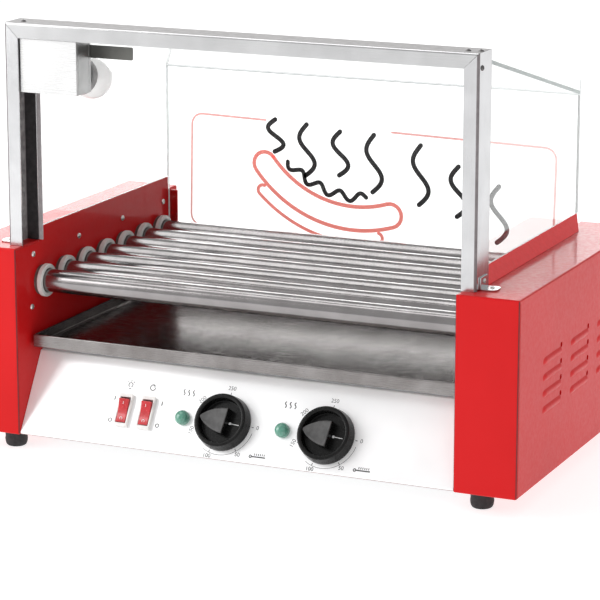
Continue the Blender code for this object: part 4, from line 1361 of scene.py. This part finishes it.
def build_lamp_box(wide, centre):
    """A cover with side seams and a neck hole, its flat strap and the screw under it."""
    low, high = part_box("lamp_box")
    wall = 0.0012
    shape = rounded_box(low, (wide, high.y, high.z), 0.0007, 3)
    inside = box((low.x + wall, low.y + wall, low.z + wall), (wide - wall, high.y - wall, high.z - wall))
    shape = combined(shape, inside)
    shape = combined(shape, moved(rod(0.012, -0.005, 0.005, 40, "Y"), centre))
    seam_z = (low.z + 0.0010, high.z - 0.0010)
    seams = []
    for y in (low.y + 0.0035, high.y - 0.0045):
        seams.append(box((wide - 0.0005, y - 0.0003, seam_z[0]), (wide + 0.001, y + 0.0003, seam_z[1])))
    shape = combined(shape, gathered(seams))
    # Painted light and shade: the cover's front is bright steel and its sides a darker copy of the same
    # steel.
    paint(shape, 1, lambda normal, centre: abs(normal.x) > 0.5)
    add_piece("lamp_box_cover", shape, ("lamp_lit_front", "lamp_shaded_side"), "lamp_box")
    strap = rounded(rectangle(wide - 0.004, 0.390, high.x, 0.4025), 0.0015)
    shape = prism(strap, high.y + 0.0001, high.y + 0.0013, along_y)
    add_piece("lamp_strap", shape, "strap_steel", bevel=0.0002)
    under = facing((wide - 0.012, low.y + 0.012, low.z), (0, 0, -1))
    add_screws("lamp_box_screw", 0.0024, [under], "dark_screw")


def build_lamp():
    low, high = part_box("lamp_box")
    centre = (middle("lamp_holder").x, high.y, LAMP_Z)
    build_lamp_box(low.x + 0.0615, centre)
    axis = Matrix.Translation(centre) @ Matrix.Rotation(-LAMP_TILT, 4, "X")
    ring = [(-0.0050, 0.0095), (0.0055, 0.0095), (0.0055, 0.0176), (0.0063, 0.0185)]
    ring += [(0.0132, 0.0185), (0.0146, 0.0178), (0.0150, 0.0166), (0.0146, 0.0154)]
    ring += [(0.0118, 0.0150), (0.0110, 0.0090), (0.0078, 0.0080), (-0.0050, 0.0080)]
    holder = moved(turned(ring, 72, "Y", hollow=True), axis)
    add_piece("lamp_holder_ring", holder, "lamp_holder_grey", "lamp_holder")
    profile = [(0.0085, 0.0066), (0.0088, 0.0070), (0.0130, 0.0070), (0.0150, 0.0078), (0.0170, 0.0094)]
    for step in range(1, 25):
        angle = math.radians(150 - 147.0 * step / 24)
        profile.append((GLOBE_REACH + GLOBE_RADIUS * math.cos(angle), GLOBE_RADIUS * math.sin(angle)))
    add_piece("lamp_bulb", moved(turned(profile, 72, "Y"), axis), "lamp_white", "lamp_globe")


# The whole grill ----------------------------------------


def build():
    add_camera()
    make_looks()
    light_studio()
    for name, side in SIDES:
        build_casing(name, side)
        build_bearing_plate(name, side)
    build_louvres()
    build_plate_screws()
    build_feet()
    build_chassis()
    panel = panel_frame()
    build_panel(panel)
    build_tray()
    build_gland()
    build_rollers()
    build_collars()
    build_knobs(panel)
    build_indicators(panel)
    for use in ("light", "turn"):
        build_switch(use, panel)
    build_print(panel)
    build_hood_frame()
    build_hood_fixings()
    build_glass()
    build_decal()
    build_lamp()
    keep_nodes()


build()
